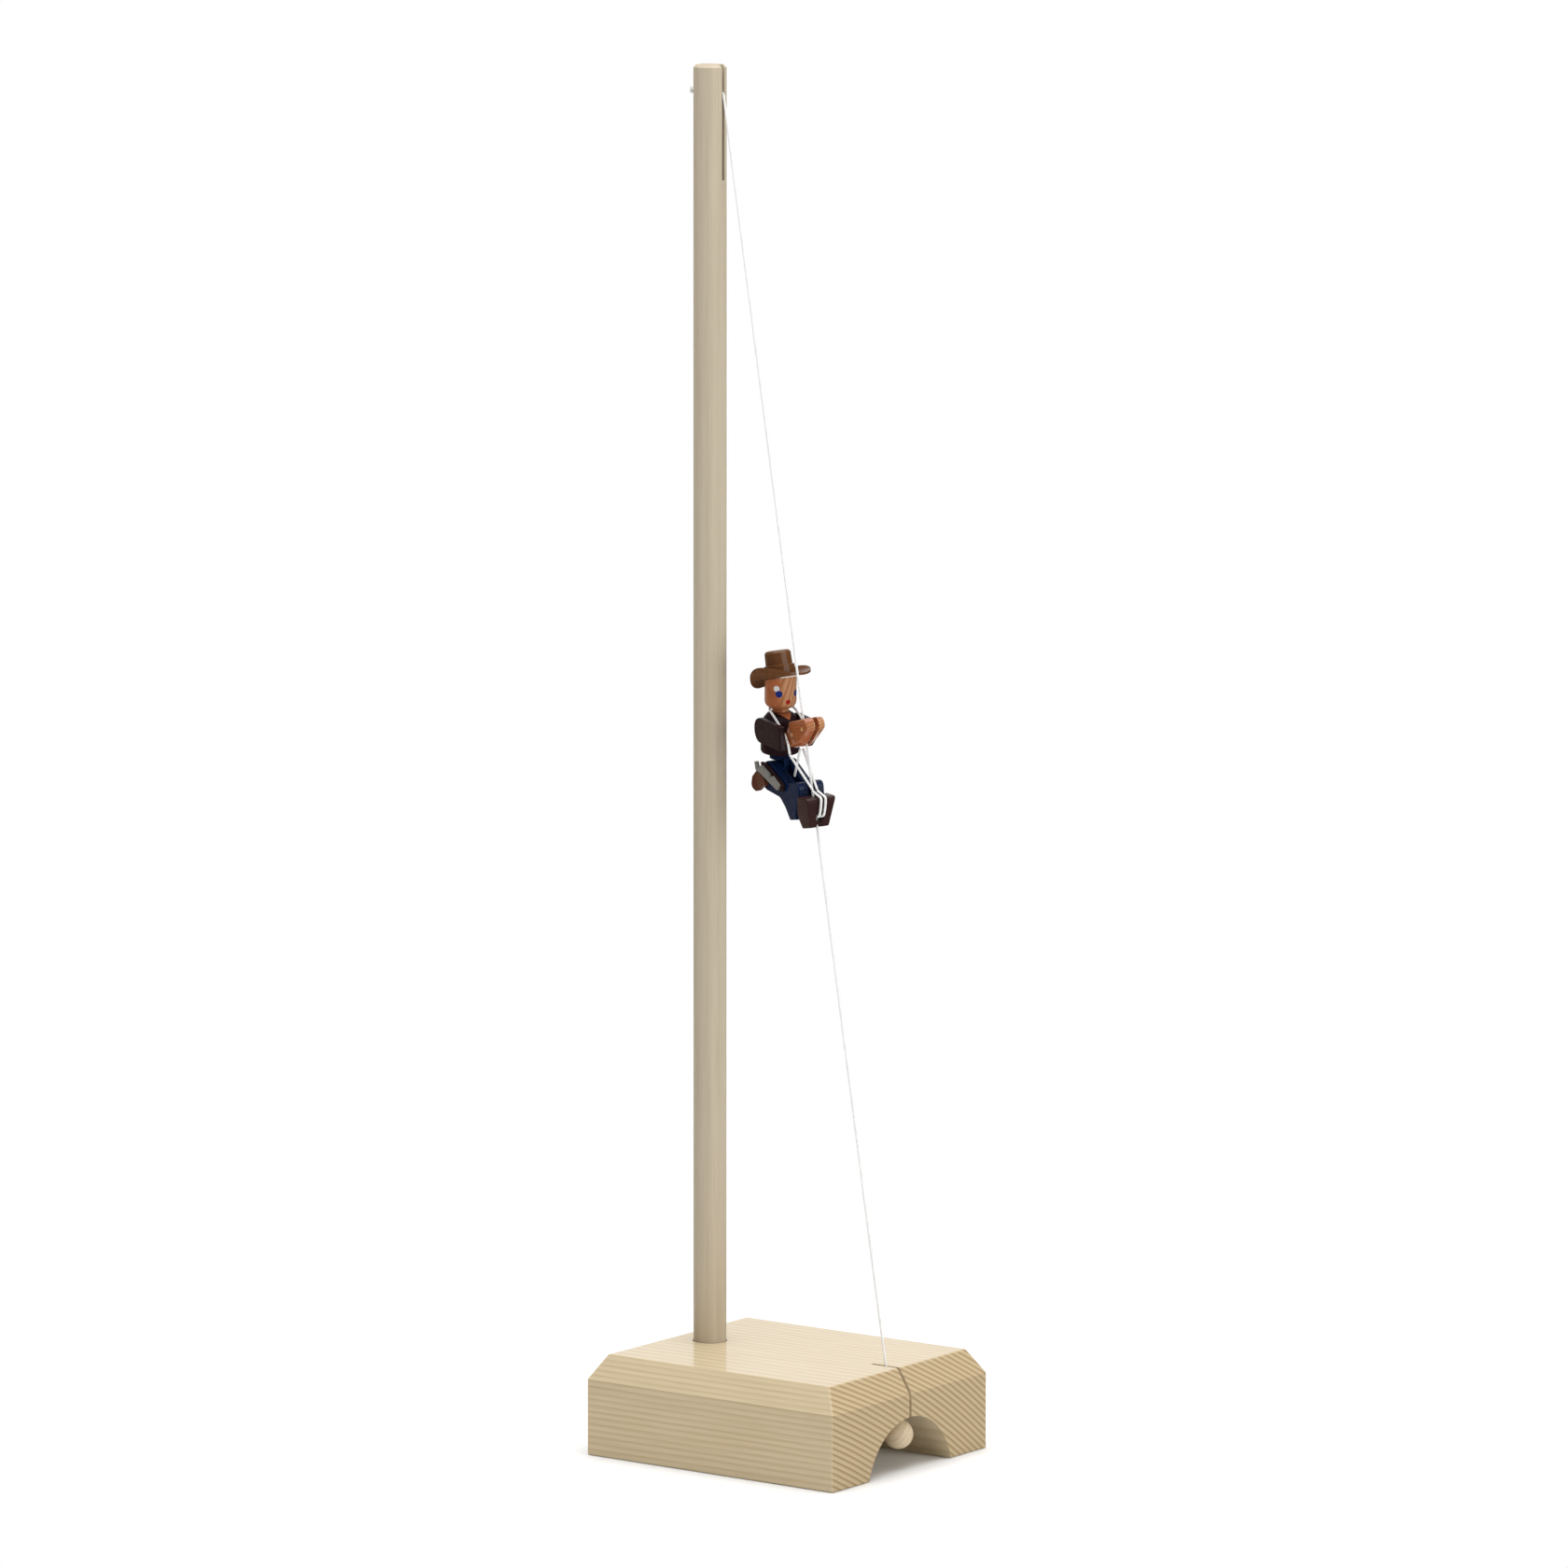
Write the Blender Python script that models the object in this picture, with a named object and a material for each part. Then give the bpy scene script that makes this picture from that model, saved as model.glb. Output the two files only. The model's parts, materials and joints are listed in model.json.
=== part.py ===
"""A wooden cowboy that climbs a string.

A sawn block carries a dowel pole. A string runs from a slot in the pole's top to a saw cut at
the block's front end, and ends in a pull ball inside the block's arched tunnel. The cowboy
holds the string between two hand plates and between the halves of one boot block.

The world frame is in metres: the origin is the middle of the block's foot print, +X points to
the string's end of the block and +Z points up. The cowboy is drawn in a frame of its own that
hangs on the string: X forward, Y to its left, Z up along the string. Places there are (X, Z).
"""

import math

import bmesh
import bpy
from mathutils import Matrix, Vector

# Block
BASE_LENGTH = 0.110
BASE_WIDTH = 0.096
BASE_WALL_HEIGHT = 0.028
BASE_SLOPE_RISE = 0.009
BASE_SLOPE_RUN = 0.0055
TUNNEL_RADIUS = 0.0265
TUNNEL_SINK = 0.0069
KERF_LENGTH = 0.017
BLOCK_EDGE = 0.0005

# Pole
POLE_DIAMETER = 0.012
POLE_TOP = 0.5035
POLE_BACK = 0.035
POLE_SOCKET_DEPTH = 0.013
POLE_CHAMFER = 0.001
POLE_SLOT_DEPTH = 0.0415

# String, its knots and the pull ball
STRING_DIAMETER = 0.0009
STRING_TOP_DROP = 0.0107
STRING_FOOT_INSET = 0.011
STRING_END_DEPTH = 0.006
ANCHOR_RISE = 0.0015
ANCHOR_BEND_SHARE = 0.9
KNOT_DIAMETER = 0.0034
BALL_DIAMETER = 0.011
BALL_FRONT_INSET = 0.0055
BALL_FLOOR_GAP = 0.0072
PULL_END_INSET = 0.001

# Clearances
GLUE_GAP = 0.0003
PIN_GAP = 0.0003
STRING_GAP = 0.0003
HIP_GAP = 0.0004
STRAND_FOOT_GAP = 1.5 * GLUE_GAP

# Where the cowboy hangs, and how far it is turned about the string
FIGURE_HEIGHT = 0.2503
FIGURE_YAW = math.radians(-26)

# Layers across the cowboy, from the middle outwards
HAND_SPACE = STRING_DIAMETER + 2 * STRING_GAP
HAND_THICKNESS = 0.00315
ELASTIC_SPACE = 0.0022
SLEEVE_THICKNESS = 0.0024
LEG_SPACE = 0.0026
LEG_THICKNESS = 0.0039
TONGUE_CLEARANCE = 0.00035
BOARD_EDGE = 0.0004

# Joints and pins, as (X, Z) in the cowboy's frame
HIP = (-0.0223, -0.0005)
HIP_ARC = (math.radians(25), math.radians(-85))
REAR_PIN = (-0.0031, 0.0144)
FRONT_PIN = (0.0053, 0.0161)
WRIST = (-0.0082, 0.0134)
PIN_DIAMETER = 0.0017
WRIST_PIN_DEPTH = 0.0013

# Spine: the leaning axis of every turned piece
HEM = (-0.0215, 0.0080)
SPINE_LEAN = math.radians(16.5)
HEM_RADIUS = 0.0071
TORSO_HEIGHT = 0.0156
HEM_EDGE = 0.0009
TORSO_BORE = 0.0034
WAIST_RADIUS = 0.00385
WAIST_LENGTH = 0.0019
TONGUE_RADIUS = 0.0031
NECK_RADIUS = 0.0030
NECK_LENGTH = 0.0016
PEG_LENGTH = 0.004
HEAD_RADIUS = 0.00585
HEAD_HEIGHT = 0.0112
CHIN_ROUND = 0.0026

# Hat
HAT_LEAN = math.radians(-0.5)
BRIM_HALF_WIDTH = 0.0114
BRIM_HALF_LENGTH = 0.0101
BRIM_THICKNESS = 0.0008
BRIM_FLAT_RADIUS = 0.0066
BRIM_CURL_RIGHT = 0.0037
BRIM_CURL_LEFT = 0.0023
BRIM_TWIST = math.radians(24)
BRIM_CURL_POWER = 1.5
BRIM_FRONT_DIP = 0.0001
BRIM_REAR_DIP = 0.0032
CROWN_FOOT_RADIUS = 0.0056
CROWN_TOP_RADIUS = 0.0046
CROWN_HEIGHT = 0.0087
BAND_HEIGHT = 0.0032
BAND_PROUD = 0.0003

# Boots
BOOT_TOP_HALF_WIDTH = 0.0062
BOOT_SOLE_HALF_WIDTH = 0.0038
NOTCH_FRONT = 0.0026
EYE_WIDTH = 0.0034
EYE_TOP = -0.0145
EYE_BOTTOM = -0.0171
BOOT_CUT_REACH = 0.010
BOOT_CUT_DEPTH = 0.030

# Elastic
ELASTIC_DIAMETER = 0.0009
STRAND_SPREAD = 0.0018
SHOULDER_PLACE = (-0.0164, 0.0046, 0.0240)
LEFT_STRAND_TOP = (-0.0064, 0.0017, 0.0087)
TAIL_TOP = (-0.0040, -0.0008, 0.0088)
TAIL_FOOT = (-0.0125, 0.0, -0.0009)
STRAND_FOOT_SHIFT = -0.0002
NECK_ANGLES = (180, 140)

# Ornament on the right thigh
HOLSTER_THICKNESS = 0.0008
REVOLVER_THICKNESS = 0.0010
GRIP_THICKNESS = 0.0018

# Shirt profile above the hem, as shares of the hem's radius and of the shirt's height
SHIRT_PROFILE = [(1.0, 0.40), (0.97, 0.67), (0.87, 0.84), (0.70, 0.94), (0.50, 1.0)]

# Crown rounding: how much wider than the top radius, and how far below the top
CROWN_ROUNDING = [(0.0002, 0.0009), (-0.0004, 0.0002), (-0.0012, 0.0)]

# Elastic routes, as (X, Z): beside the hands, and over the boots from the front to the eye
HAND_ROUTE = [
    (-0.0132, 0.0217),
    (-0.0089, 0.0174),
    (-0.0060, 0.0139),
    (-0.0046, 0.0109),
    (-0.0043, 0.0076),
]
BOOT_ROUTE = [
    (0.0023, -0.0066),
    (0.0050, -0.0079),
    (0.0076, -0.0092),
    (0.0070, -0.0118),
    (0.0052, -0.0149),
    (0.0034, -0.0158),
]
BOOT_ROUTE_TURN = (0.0024, -0.0158)

# Outlines in the cowboy's frame: (X, Z, corner radius)
LEG_REAR = [
    (-0.0285, -0.0034, 0.0010),
    (-0.0259, -0.0050, 0.0020),
    (-0.0162, -0.0079, 0.0040),
    (-0.0130, -0.0117, 0.0030),
    (-0.0105, -0.0163, 0.0007),
]
LEG_FRONT = [
    (-0.0001, -0.0030, 0.0022),
    (-0.0100, -0.0028, 0.0020),
]
SHIN_LINE = [
    (-0.0049, -0.0163),
    (-0.0049, -0.0141),
    (-0.0005, -0.0079),
]
BOOT_FRONT = [
    (0.0066, -0.0091, 0.0011),
    (0.0022, -0.0196, 0.0008),
    (-0.0042, -0.0197, 0.0006),
]
SLEEVE_FRONT_TOP = (-0.0032, 0.0176, 0.0006)
SLEEVE_REAR = [
    (-0.0239, 0.0134, 0.0043),
    (-0.0224, 0.0225, 0.0043),
]
RIGHT_SLEEVE_OUTLINE = [
    SLEEVE_FRONT_TOP,
    (-0.0046, 0.0087, 0.0006),
    *SLEEVE_REAR,
]
LEFT_SLEEVE_OUTLINE = [
    SLEEVE_FRONT_TOP,
    (-0.0037, 0.0140, 0.0008),
    (-0.0118, 0.0090, 0.0008),
    *SLEEVE_REAR,
]
PALM_OUTLINE = [
    (-0.0100, 0.0151, 0.0008),
    (-0.0069, 0.0156, 0.0006),
    (-0.0039, 0.0191, 0.0008),
    (0.0096, 0.0203, 0.0024),
    (0.0108, 0.0162, 0.0024),
    (0.0012, 0.0098, 0.0030),
    (-0.0064, 0.0094, 0.0008),
    (-0.0100, 0.0112, 0.0008),
]
HAND_BACK_OUTLINE = [
    (-0.0100, 0.0151, 0.0008),
    (-0.0069, 0.0156, 0.0006),
    (-0.0039, 0.0191, 0.0008),
    (0.0082, 0.0199, 0.0024),
    (0.0095, 0.0162, 0.0024),
    (0.0012, 0.0120, 0.0030),
    (-0.0062, 0.0100, 0.0008),
    (-0.0100, 0.0116, 0.0008),
]
HOLSTER_OUTLINE = [
    (-0.0258, 0.0056, 0.0005),
    (-0.0222, 0.0049, 0.0010),
    (-0.0102, -0.0034, 0.0008),
    (-0.0116, -0.0062, 0.0010),
    (-0.0246, 0.0012, 0.0008),
]
REVOLVER_OUTLINE = [
    (-0.0280, 0.0058, 0.0003),
    (-0.0264, 0.0058, 0.0003),
    (-0.0260, 0.0034, 0.0003),
    (-0.0233, 0.0043, 0.0005),
    (-0.0182, 0.0010, 0.0002),
    (-0.0178, -0.0004, 0.0003),
    (-0.0164, -0.0007, 0.0003),
    (-0.0158, 0.0002, 0.0002),
    (-0.0114, -0.0033, 0.0003),
    (-0.0131, -0.0051, 0.0003),
    (-0.0251, 0.0016, 0.0006),
    (-0.0279, 0.0027, 0.0003),
]
GRIP_OUTLINE = [
    (-0.0279, 0.0024, 0.0004),
    (-0.0254, 0.0013, 0.0004),
    (-0.0224, -0.0015, 0.0006),
    (-0.0226, -0.0030, 0.0006),
    (-0.0268, -0.0040, 0.0012),
    (-0.0300, -0.0052, 0.0016),
    (-0.0338, -0.0034, 0.0018),
    (-0.0318, 0.0004, 0.0018),
]

# Derived sizes of the stand
BASE_HEIGHT = BASE_WALL_HEIGHT + BASE_SLOPE_RISE
BASE_FRONT = BASE_LENGTH / 2
POLE_RADIUS = POLE_DIAMETER / 2
SLOT_WIDTH = STRING_DIAMETER + 2 * STRING_GAP
STRING_TOP = Vector((POLE_RADIUS - POLE_BACK, 0, POLE_TOP - STRING_TOP_DROP))
STRING_FOOT = Vector((BASE_FRONT - STRING_FOOT_INSET, 0, BASE_HEIGHT))
STRING_WAY = (STRING_TOP - STRING_FOOT).normalized()
BALL_RADIUS = BALL_DIAMETER / 2
BALL_CENTRE = Vector((BASE_FRONT - BALL_FRONT_INSET, 0, BALL_FLOOR_GAP + BALL_RADIUS))

# Derived sizes of the cowboy
HAND_INNER = HAND_SPACE / 2
HAND_OUTER = HAND_INNER + HAND_THICKNESS
SLEEVE_INNER = HAND_OUTER + ELASTIC_SPACE
SLEEVE_OUTER = SLEEVE_INNER + SLEEVE_THICKNESS
LEG_INNER = LEG_SPACE / 2
LEG_OUTER = LEG_INNER + LEG_THICKNESS
PIN_RADIUS = PIN_DIAMETER / 2
ELASTIC_RADIUS = ELASTIC_DIAMETER / 2
SPINE = Vector((math.sin(SPINE_LEAN), math.cos(SPINE_LEAN)))
WAIST_REACH = (Vector(HEM) - Vector(HIP)).dot(SPINE) - WAIST_LENGTH
HIP_RADIUS = WAIST_REACH - HIP_GAP
CHIN_HEIGHT = TORSO_HEIGHT + NECK_LENGTH
HEAD_TOP = CHIN_HEIGHT + HEAD_HEIGHT

# How finely the pieces are drawn
ROUND_STEPS = 4
EDGE_ROUND_STEPS = 2
CORD_ROUND_STEPS = 2
CHIN_STEPS = 5
TONGUE_STEPS = 12
HIP_ARC_STEPS = 11
PIN_SEGMENTS = 16
EDGE_SHARE = 0.48
SHARP_REACH = 0.00002
MERGE_DISTANCE = 1e-6
OVERSHOOT = 0.002
SMOOTH_ANGLE = math.radians(35)


def clear_scene():
    """Removes whatever the scene holds."""
    for obj in list(bpy.data.objects):
        bpy.data.objects.remove(obj, do_unlink=True)


def make_material(name, colour, roughness):
    """Makes a Principled material with a linear colour."""
    material = bpy.data.materials.new(name)
    material.use_nodes = True
    shader = material.node_tree.nodes["Principled BSDF"]
    shader.inputs["Base Color"].default_value = (*colour, 1.0)
    shader.inputs["Roughness"].default_value = roughness
    material.diffuse_color = (*colour, 1.0)
    return material


def make_empty(name, matrix, parent=None):
    """Makes an empty that carries a frame or marks a joint's axis."""
    empty = bpy.data.objects.new(name, None)
    bpy.context.scene.collection.objects.link(empty)
    empty.parent = parent
    empty.matrix_local = matrix
    return empty


def finish(name, bm, material, parent):
    """Turns a bmesh into a smooth-shaded object under its parent."""
    bmesh.ops.recalc_face_normals(bm, faces=bm.faces)
    mesh = bpy.data.meshes.new(name)
    bm.to_mesh(mesh)
    bm.free()
    mesh.shade_smooth()
    mesh.set_sharp_from_angle(angle=SMOOTH_ANGLE)
    obj = bpy.data.objects.new(name, mesh)
    bpy.context.scene.collection.objects.link(obj)
    obj.parent = parent
    if material is None:
        obj.hide_render = True
        obj.display_type = "WIRE"
    else:
        mesh.materials.append(material)
    return obj


def turned(name, profile, material=None, parent=None, segments=32):
    """Turns a profile of (radius, height) points about the local Z axis."""
    bm = bmesh.new()
    verts = [bm.verts.new((radius, 0, height)) for radius, height in profile]
    edges = [bm.edges.new(pair) for pair in zip(verts, verts[1:])]
    bmesh.ops.spin(bm, geom=verts + edges, cent=(0, 0, 0), axis=(0, 0, 1), angle=math.tau,
                   steps=segments, use_merge=True)
    bmesh.ops.remove_doubles(bm, verts=bm.verts, dist=MERGE_DISTANCE)
    return finish(name, bm, material, parent)


def extruded(name, outline, near, far, material=None, parent=None, about=(0, 0)):
    """Extrudes an (X, Z) outline along Y, with its origin at the (X, Z) point about."""
    bm = bmesh.new()
    verts = [bm.verts.new((x - about[0], near, z - about[1])) for x, z in outline]
    face = bm.faces.new(verts)
    moved = bmesh.ops.extrude_face_region(bm, geom=[face])["geom"]
    top = [item for item in moved if isinstance(item, bmesh.types.BMVert)]
    bmesh.ops.translate(bm, verts=top, vec=(0, far - near, 0))
    return finish(name, bm, material, parent)


def box(name, low, high, parent=None):
    """Makes a box cutter between two corners."""
    bm = bmesh.new()
    bmesh.ops.create_cube(bm, size=1.0)
    size = Vector(high) - Vector(low)
    bmesh.ops.scale(bm, verts=bm.verts, vec=size)
    bmesh.ops.translate(bm, verts=bm.verts, vec=(Vector(high) + Vector(low)) / 2)
    return finish(name, bm, None, parent)


def rod(name, radius, near, far, place, material=None, parent=None, about=(0, 0)):
    """Makes a round rod along Y at an (X, Z) place."""
    outline = []
    for step in range(PIN_SEGMENTS):
        turn = math.tau * (step + 0.5) / PIN_SEGMENTS
        outline.append((place[0] + radius * math.cos(turn), place[1] + radius * math.sin(turn)))
    return extruded(name, outline, near, far, material, parent, about)


def tube(name, points, radius, material, parent=None):
    """Makes a cord from a poly curve with a round bevel and filled caps."""
    curve = bpy.data.curves.new(name, "CURVE")
    curve.dimensions = "3D"
    curve.bevel_depth = radius
    curve.bevel_resolution = CORD_ROUND_STEPS
    curve.use_fill_caps = True
    spline = curve.splines.new("POLY")
    spline.points.add(len(points) - 1)
    for target, point in zip(spline.points, points):
        target.co = (*point, 1.0)
    curve.materials.append(material)
    obj = bpy.data.objects.new(name, curve)
    bpy.context.scene.collection.objects.link(obj)
    obj.parent = parent
    return obj


def meshed(cord):
    """Swaps a curve object for a mesh object of the same name, so that it can take a Boolean."""
    name, parent = cord.name, cord.parent
    bpy.context.view_layer.update()
    mesh = bpy.data.meshes.new_from_object(cord.evaluated_get(bpy.context.evaluated_depsgraph_get()))
    bpy.data.objects.remove(cord, do_unlink=True)
    obj = bpy.data.objects.new(name, mesh)
    bpy.context.scene.collection.objects.link(obj)
    obj.parent = parent
    return obj


def boolean(target, other, operation="DIFFERENCE"):
    """Adds an exact Boolean to the target."""
    modifier = target.modifiers.new(operation.title(), "BOOLEAN")
    modifier.operation = operation
    modifier.solver = "EXACT"
    modifier.object = other


def soften(target, width):
    """Rounds the sharp edges of a piece, as sanding does."""
    modifier = target.modifiers.new("Edge", "BEVEL")
    modifier.width = width
    modifier.segments = EDGE_ROUND_STEPS
    modifier.limit_method = "ANGLE"
    modifier.angle_limit = SMOOTH_ANGLE
    modifier.harden_normals = True


def rounded(corners, steps=ROUND_STEPS):
    """Rounds the corners of a closed outline; each corner is (X, Z, radius), limited by its edges."""
    points = []
    for index, (x, z, radius) in enumerate(corners):
        here = Vector((x, z))
        before = Vector(corners[index - 1][:2]) - here
        after = Vector(corners[(index + 1) % len(corners)][:2]) - here
        half = before.angle(after) / 2
        reach = min(radius / math.tan(half), EDGE_SHARE * min(before.length, after.length))
        if reach < SHARP_REACH:
            points.append(tuple(here))
            continue
        radius = reach * math.tan(half)
        before.normalize()
        after.normalize()
        centre = here + (before + after).normalized() * radius / math.sin(half)
        start = here + before * reach - centre
        end = here + after * reach - centre
        first = math.atan2(start.y, start.x)
        turn = math.remainder(math.atan2(end.y, end.x) - first, math.tau)
        for step in range(steps + 1):
            angle = first + turn * step / steps
            points.append((centre.x + radius * math.cos(angle), centre.y + radius * math.sin(angle)))
    return points


def grown(corners, margin):
    """Moves a convex, clockwise outline outwards by a margin."""
    shifted = []
    for index, (x, z, radius) in enumerate(corners):
        here = Vector((x, z))
        before = (here - Vector(corners[index - 1][:2])).normalized()
        after = (Vector(corners[(index + 1) % len(corners)][:2]) - here).normalized()
        normal_before = Vector((-before.y, before.x))
        normal_after = Vector((-after.y, after.x))
        middle = (normal_before + normal_after).normalized()
        reach = margin / middle.dot(normal_before)
        shifted.append((x + middle.x * reach, z + middle.y * reach, radius + margin))
    return shifted


def smooth_route(points, spacing):
    """Samples an even Catmull-Rom curve through the points of a cord's route."""
    places = [Vector(point) for point in points]
    padded = [2 * places[0] - places[1], *places, 2 * places[-1] - places[-2]]
    route = [places[0]]
    for index in range(1, len(padded) - 2):
        a, b, c, d = padded[index - 1:index + 3]
        count = max(1, round((c - b).length / spacing))
        for step in range(1, count + 1):
            t = step / count
            route.append(0.5 * (2 * b + (c - a) * t + (2 * a - 5 * b + 4 * c - d) * t ** 2
                                + (3 * b - a - 3 * c + d) * t ** 3))
    return route


def build_base(material):
    """The sawn block with its sloped shoulders, arched tunnel, pole socket and saw cut."""
    bm = bmesh.new()
    bmesh.ops.create_cube(bm, size=1.0)
    bmesh.ops.scale(bm, verts=bm.verts, vec=(BASE_LENGTH, BASE_WIDTH, BASE_WALL_HEIGHT))
    bmesh.ops.translate(bm, verts=bm.verts, vec=(0, 0, BASE_WALL_HEIGHT / 2))
    top = max(bm.faces, key=lambda face: face.calc_center_median().z)
    moved = bmesh.ops.extrude_face_region(bm, geom=[top])["geom"]
    bmesh.ops.delete(bm, geom=[top], context="FACES_ONLY")
    crest = [item for item in moved if isinstance(item, bmesh.types.BMVert)]
    shrink = (1 - 2 * BASE_SLOPE_RUN / BASE_LENGTH, 1 - 2 * BASE_SLOPE_RUN / BASE_WIDTH, 1)
    bmesh.ops.scale(bm, verts=crest, vec=shrink)
    bmesh.ops.translate(bm, verts=crest, vec=(0, 0, BASE_SLOPE_RISE))
    base = finish("base_block", bm, material, None)
    soften(base, BLOCK_EDGE)

    tunnel = turned("tunnel_cutter", [
        (0, -BASE_LENGTH), (TUNNEL_RADIUS, -BASE_LENGTH), (TUNNEL_RADIUS, BASE_LENGTH), (0, BASE_LENGTH),
    ], segments=72)
    tunnel.matrix_local = Matrix.Translation((0, 0, -TUNNEL_SINK)) @ Matrix.Rotation(math.pi / 2, 4, "Y")
    boolean(base, tunnel)

    socket_floor = BASE_HEIGHT - POLE_SOCKET_DEPTH
    socket = turned("socket_cutter", [
        (0, socket_floor), (POLE_RADIUS + GLUE_GAP, socket_floor),
        (POLE_RADIUS + GLUE_GAP, BASE_HEIGHT + OVERSHOOT), (0, BASE_HEIGHT + OVERSHOOT),
    ])
    socket.location.x = -POLE_BACK
    boolean(base, socket)

    kerf = box("kerf_cutter", (BASE_FRONT - KERF_LENGTH, -SLOT_WIDTH / 2, -OVERSHOOT),
               (BASE_FRONT + OVERSHOOT, SLOT_WIDTH / 2, BASE_HEIGHT + OVERSHOOT))
    boolean(base, kerf)


def build_pole(material):
    """The dowel, with a small chamfer and a saw slot at its top."""
    foot = BASE_HEIGHT - POLE_SOCKET_DEPTH + GLUE_GAP
    pole = turned("pole", [
        (0, foot), (POLE_RADIUS, foot), (POLE_RADIUS, POLE_TOP - POLE_CHAMFER),
        (POLE_RADIUS - POLE_CHAMFER, POLE_TOP), (0, POLE_TOP),
    ], material)
    pole.location.x = -POLE_BACK
    slot = box("slot_cutter", (-POLE_DIAMETER, -SLOT_WIDTH / 2, POLE_TOP - POLE_SLOT_DEPTH),
               (POLE_DIAMETER, SLOT_WIDTH / 2, POLE_TOP + OVERSHOOT), pole)
    boolean(pole, slot)


def add_ball(bm, radius, centre, steps=16):
    """Adds a closed ball to a bmesh."""
    made = bmesh.ops.create_uvsphere(bm, u_segments=steps, v_segments=steps // 2, radius=radius)
    bmesh.ops.translate(bm, verts=made["verts"], vec=centre)


def build_knot(name, radius, centre):
    """Makes the ball that is joined to a cord as its knot."""
    bm = bmesh.new()
    add_ball(bm, radius, centre)
    return finish(name, bm, None, None)


def build_string(material, ball_material):
    """The climbing string, its end in the pole's slot, and the pull string with its ball."""
    string_length = (STRING_TOP - STRING_FOOT).length + STRING_END_DEPTH
    string = tube("climbing_string", [Vector(), STRING_WAY * string_length], STRING_DIAMETER / 2, material)
    string.location = STRING_FOOT - STRING_WAY * STRING_END_DEPTH

    knot_x = -POLE_BACK - POLE_RADIUS - GLUE_GAP - KNOT_DIAMETER / 2
    slot_height = STRING_TOP.z + ANCHOR_RISE
    anchor = meshed(tube("string_anchor", smooth_route([
        STRING_TOP + STRING_WAY * GLUE_GAP,
        STRING_TOP + Vector((-POLE_RADIUS / 2, 0, ANCHOR_RISE * ANCHOR_BEND_SHARE)),
        (-POLE_BACK - POLE_RADIUS / 2, 0, slot_height),
        (knot_x, 0, slot_height),
    ], STRING_DIAMETER * 2), STRING_DIAMETER / 2, material))
    boolean(anchor, build_knot("anchor_knot", KNOT_DIAMETER / 2, (knot_x, 0, slot_height)), "UNION")

    pull_top = STRING_FOOT - STRING_WAY * (STRING_END_DEPTH + GLUE_GAP)
    pull_way = (BALL_CENTRE - pull_top).normalized()
    pull_end = BALL_CENTRE + pull_way * (BALL_RADIUS - PULL_END_INSET)
    tube("pull_string", [pull_top, pull_end], STRING_DIAMETER / 2, material)

    bm = bmesh.new()
    add_ball(bm, BALL_RADIUS, Vector(), steps=32)
    ball = finish("pull_ball", bm, ball_material, None)
    ball.location = BALL_CENTRE
    bore = turned("ball_bore", [(0, -BALL_DIAMETER), (SLOT_WIDTH / 2, -BALL_DIAMETER),
                                (SLOT_WIDTH / 2, BALL_DIAMETER), (0, BALL_DIAMETER)],
                  parent=ball, segments=12)
    bore.rotation_euler = pull_way.to_track_quat("Z", "Y").to_euler()
    boolean(ball, bore)


def figure_matrix():
    """The cowboy's frame: up along the string, forward turned by the yaw."""
    place = STRING_FOOT + STRING_WAY * (FIGURE_HEIGHT - STRING_FOOT.z) / STRING_WAY.z
    ahead = Vector((math.cos(FIGURE_YAW), math.sin(FIGURE_YAW), 0))
    left = STRING_WAY.cross(ahead).normalized()
    forward = left.cross(STRING_WAY)
    rotation = Matrix((forward, left, STRING_WAY)).transposed().to_4x4()
    return Matrix.Translation(place) @ rotation


def slope_to(board, outline, level, about):
    """Moves a board's face at one level onto another outline, so that its edges slope."""
    face = [vert for vert in board.data.vertices if abs(vert.co.y - level) < MERGE_DISTANCE]
    for vert, (x, z) in zip(face, outline, strict=True):
        vert.co.x = x - about[0]
        vert.co.z = z - about[1]


def pin_hole(target, place, parent, about, inner, outer):
    """Drills a running hole for a pin through a board that lies between inner and outer."""
    cutter = rod(target.name + "_hole", PIN_RADIUS + PIN_GAP, min(inner, outer) - OVERSHOOT,
                 max(inner, outer) + OVERSHOOT, place, parent=parent, about=about)
    boolean(target, cutter)


def build_torso(material, spine_axis, tilt_axis):
    """The turned shirt, cut flat where the sleeves are glued on and bored for the pegs."""
    hem_round = HEM_EDGE * (1 - math.sqrt(0.5))
    torso = turned("torso", [
        (0, GLUE_GAP),
        (HEM_RADIUS - HEM_EDGE, GLUE_GAP),
        (HEM_RADIUS - hem_round, GLUE_GAP + hem_round),
        (HEM_RADIUS, GLUE_GAP + HEM_EDGE),
        *((HEM_RADIUS * wide, TORSO_HEIGHT * high) for wide, high in SHIRT_PROFILE),
        (0, TORSO_HEIGHT),
    ], material, spine_axis, segments=40)
    for side, sleeve_outline in ((-1, RIGHT_SLEEVE_OUTLINE), (1, LEFT_SLEEVE_OUTLINE)):
        pocket = extruded("sleeve_pocket", rounded(grown(sleeve_outline, GLUE_GAP)),
                          side * (SLEEVE_INNER - GLUE_GAP), side * (SLEEVE_OUTER + OVERSHOOT),
                          parent=tilt_axis, about=REAR_PIN)
        boolean(torso, pocket)
    bore_radius = TORSO_BORE / 2 + GLUE_GAP
    bore = turned("torso_bore", [(0, -OVERSHOOT), (bore_radius, -OVERSHOOT),
                                 (bore_radius, TORSO_HEIGHT + OVERSHOOT), (0, TORSO_HEIGHT + OVERSHOOT)],
                  parent=spine_axis, segments=20)
    boolean(torso, bore)


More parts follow.
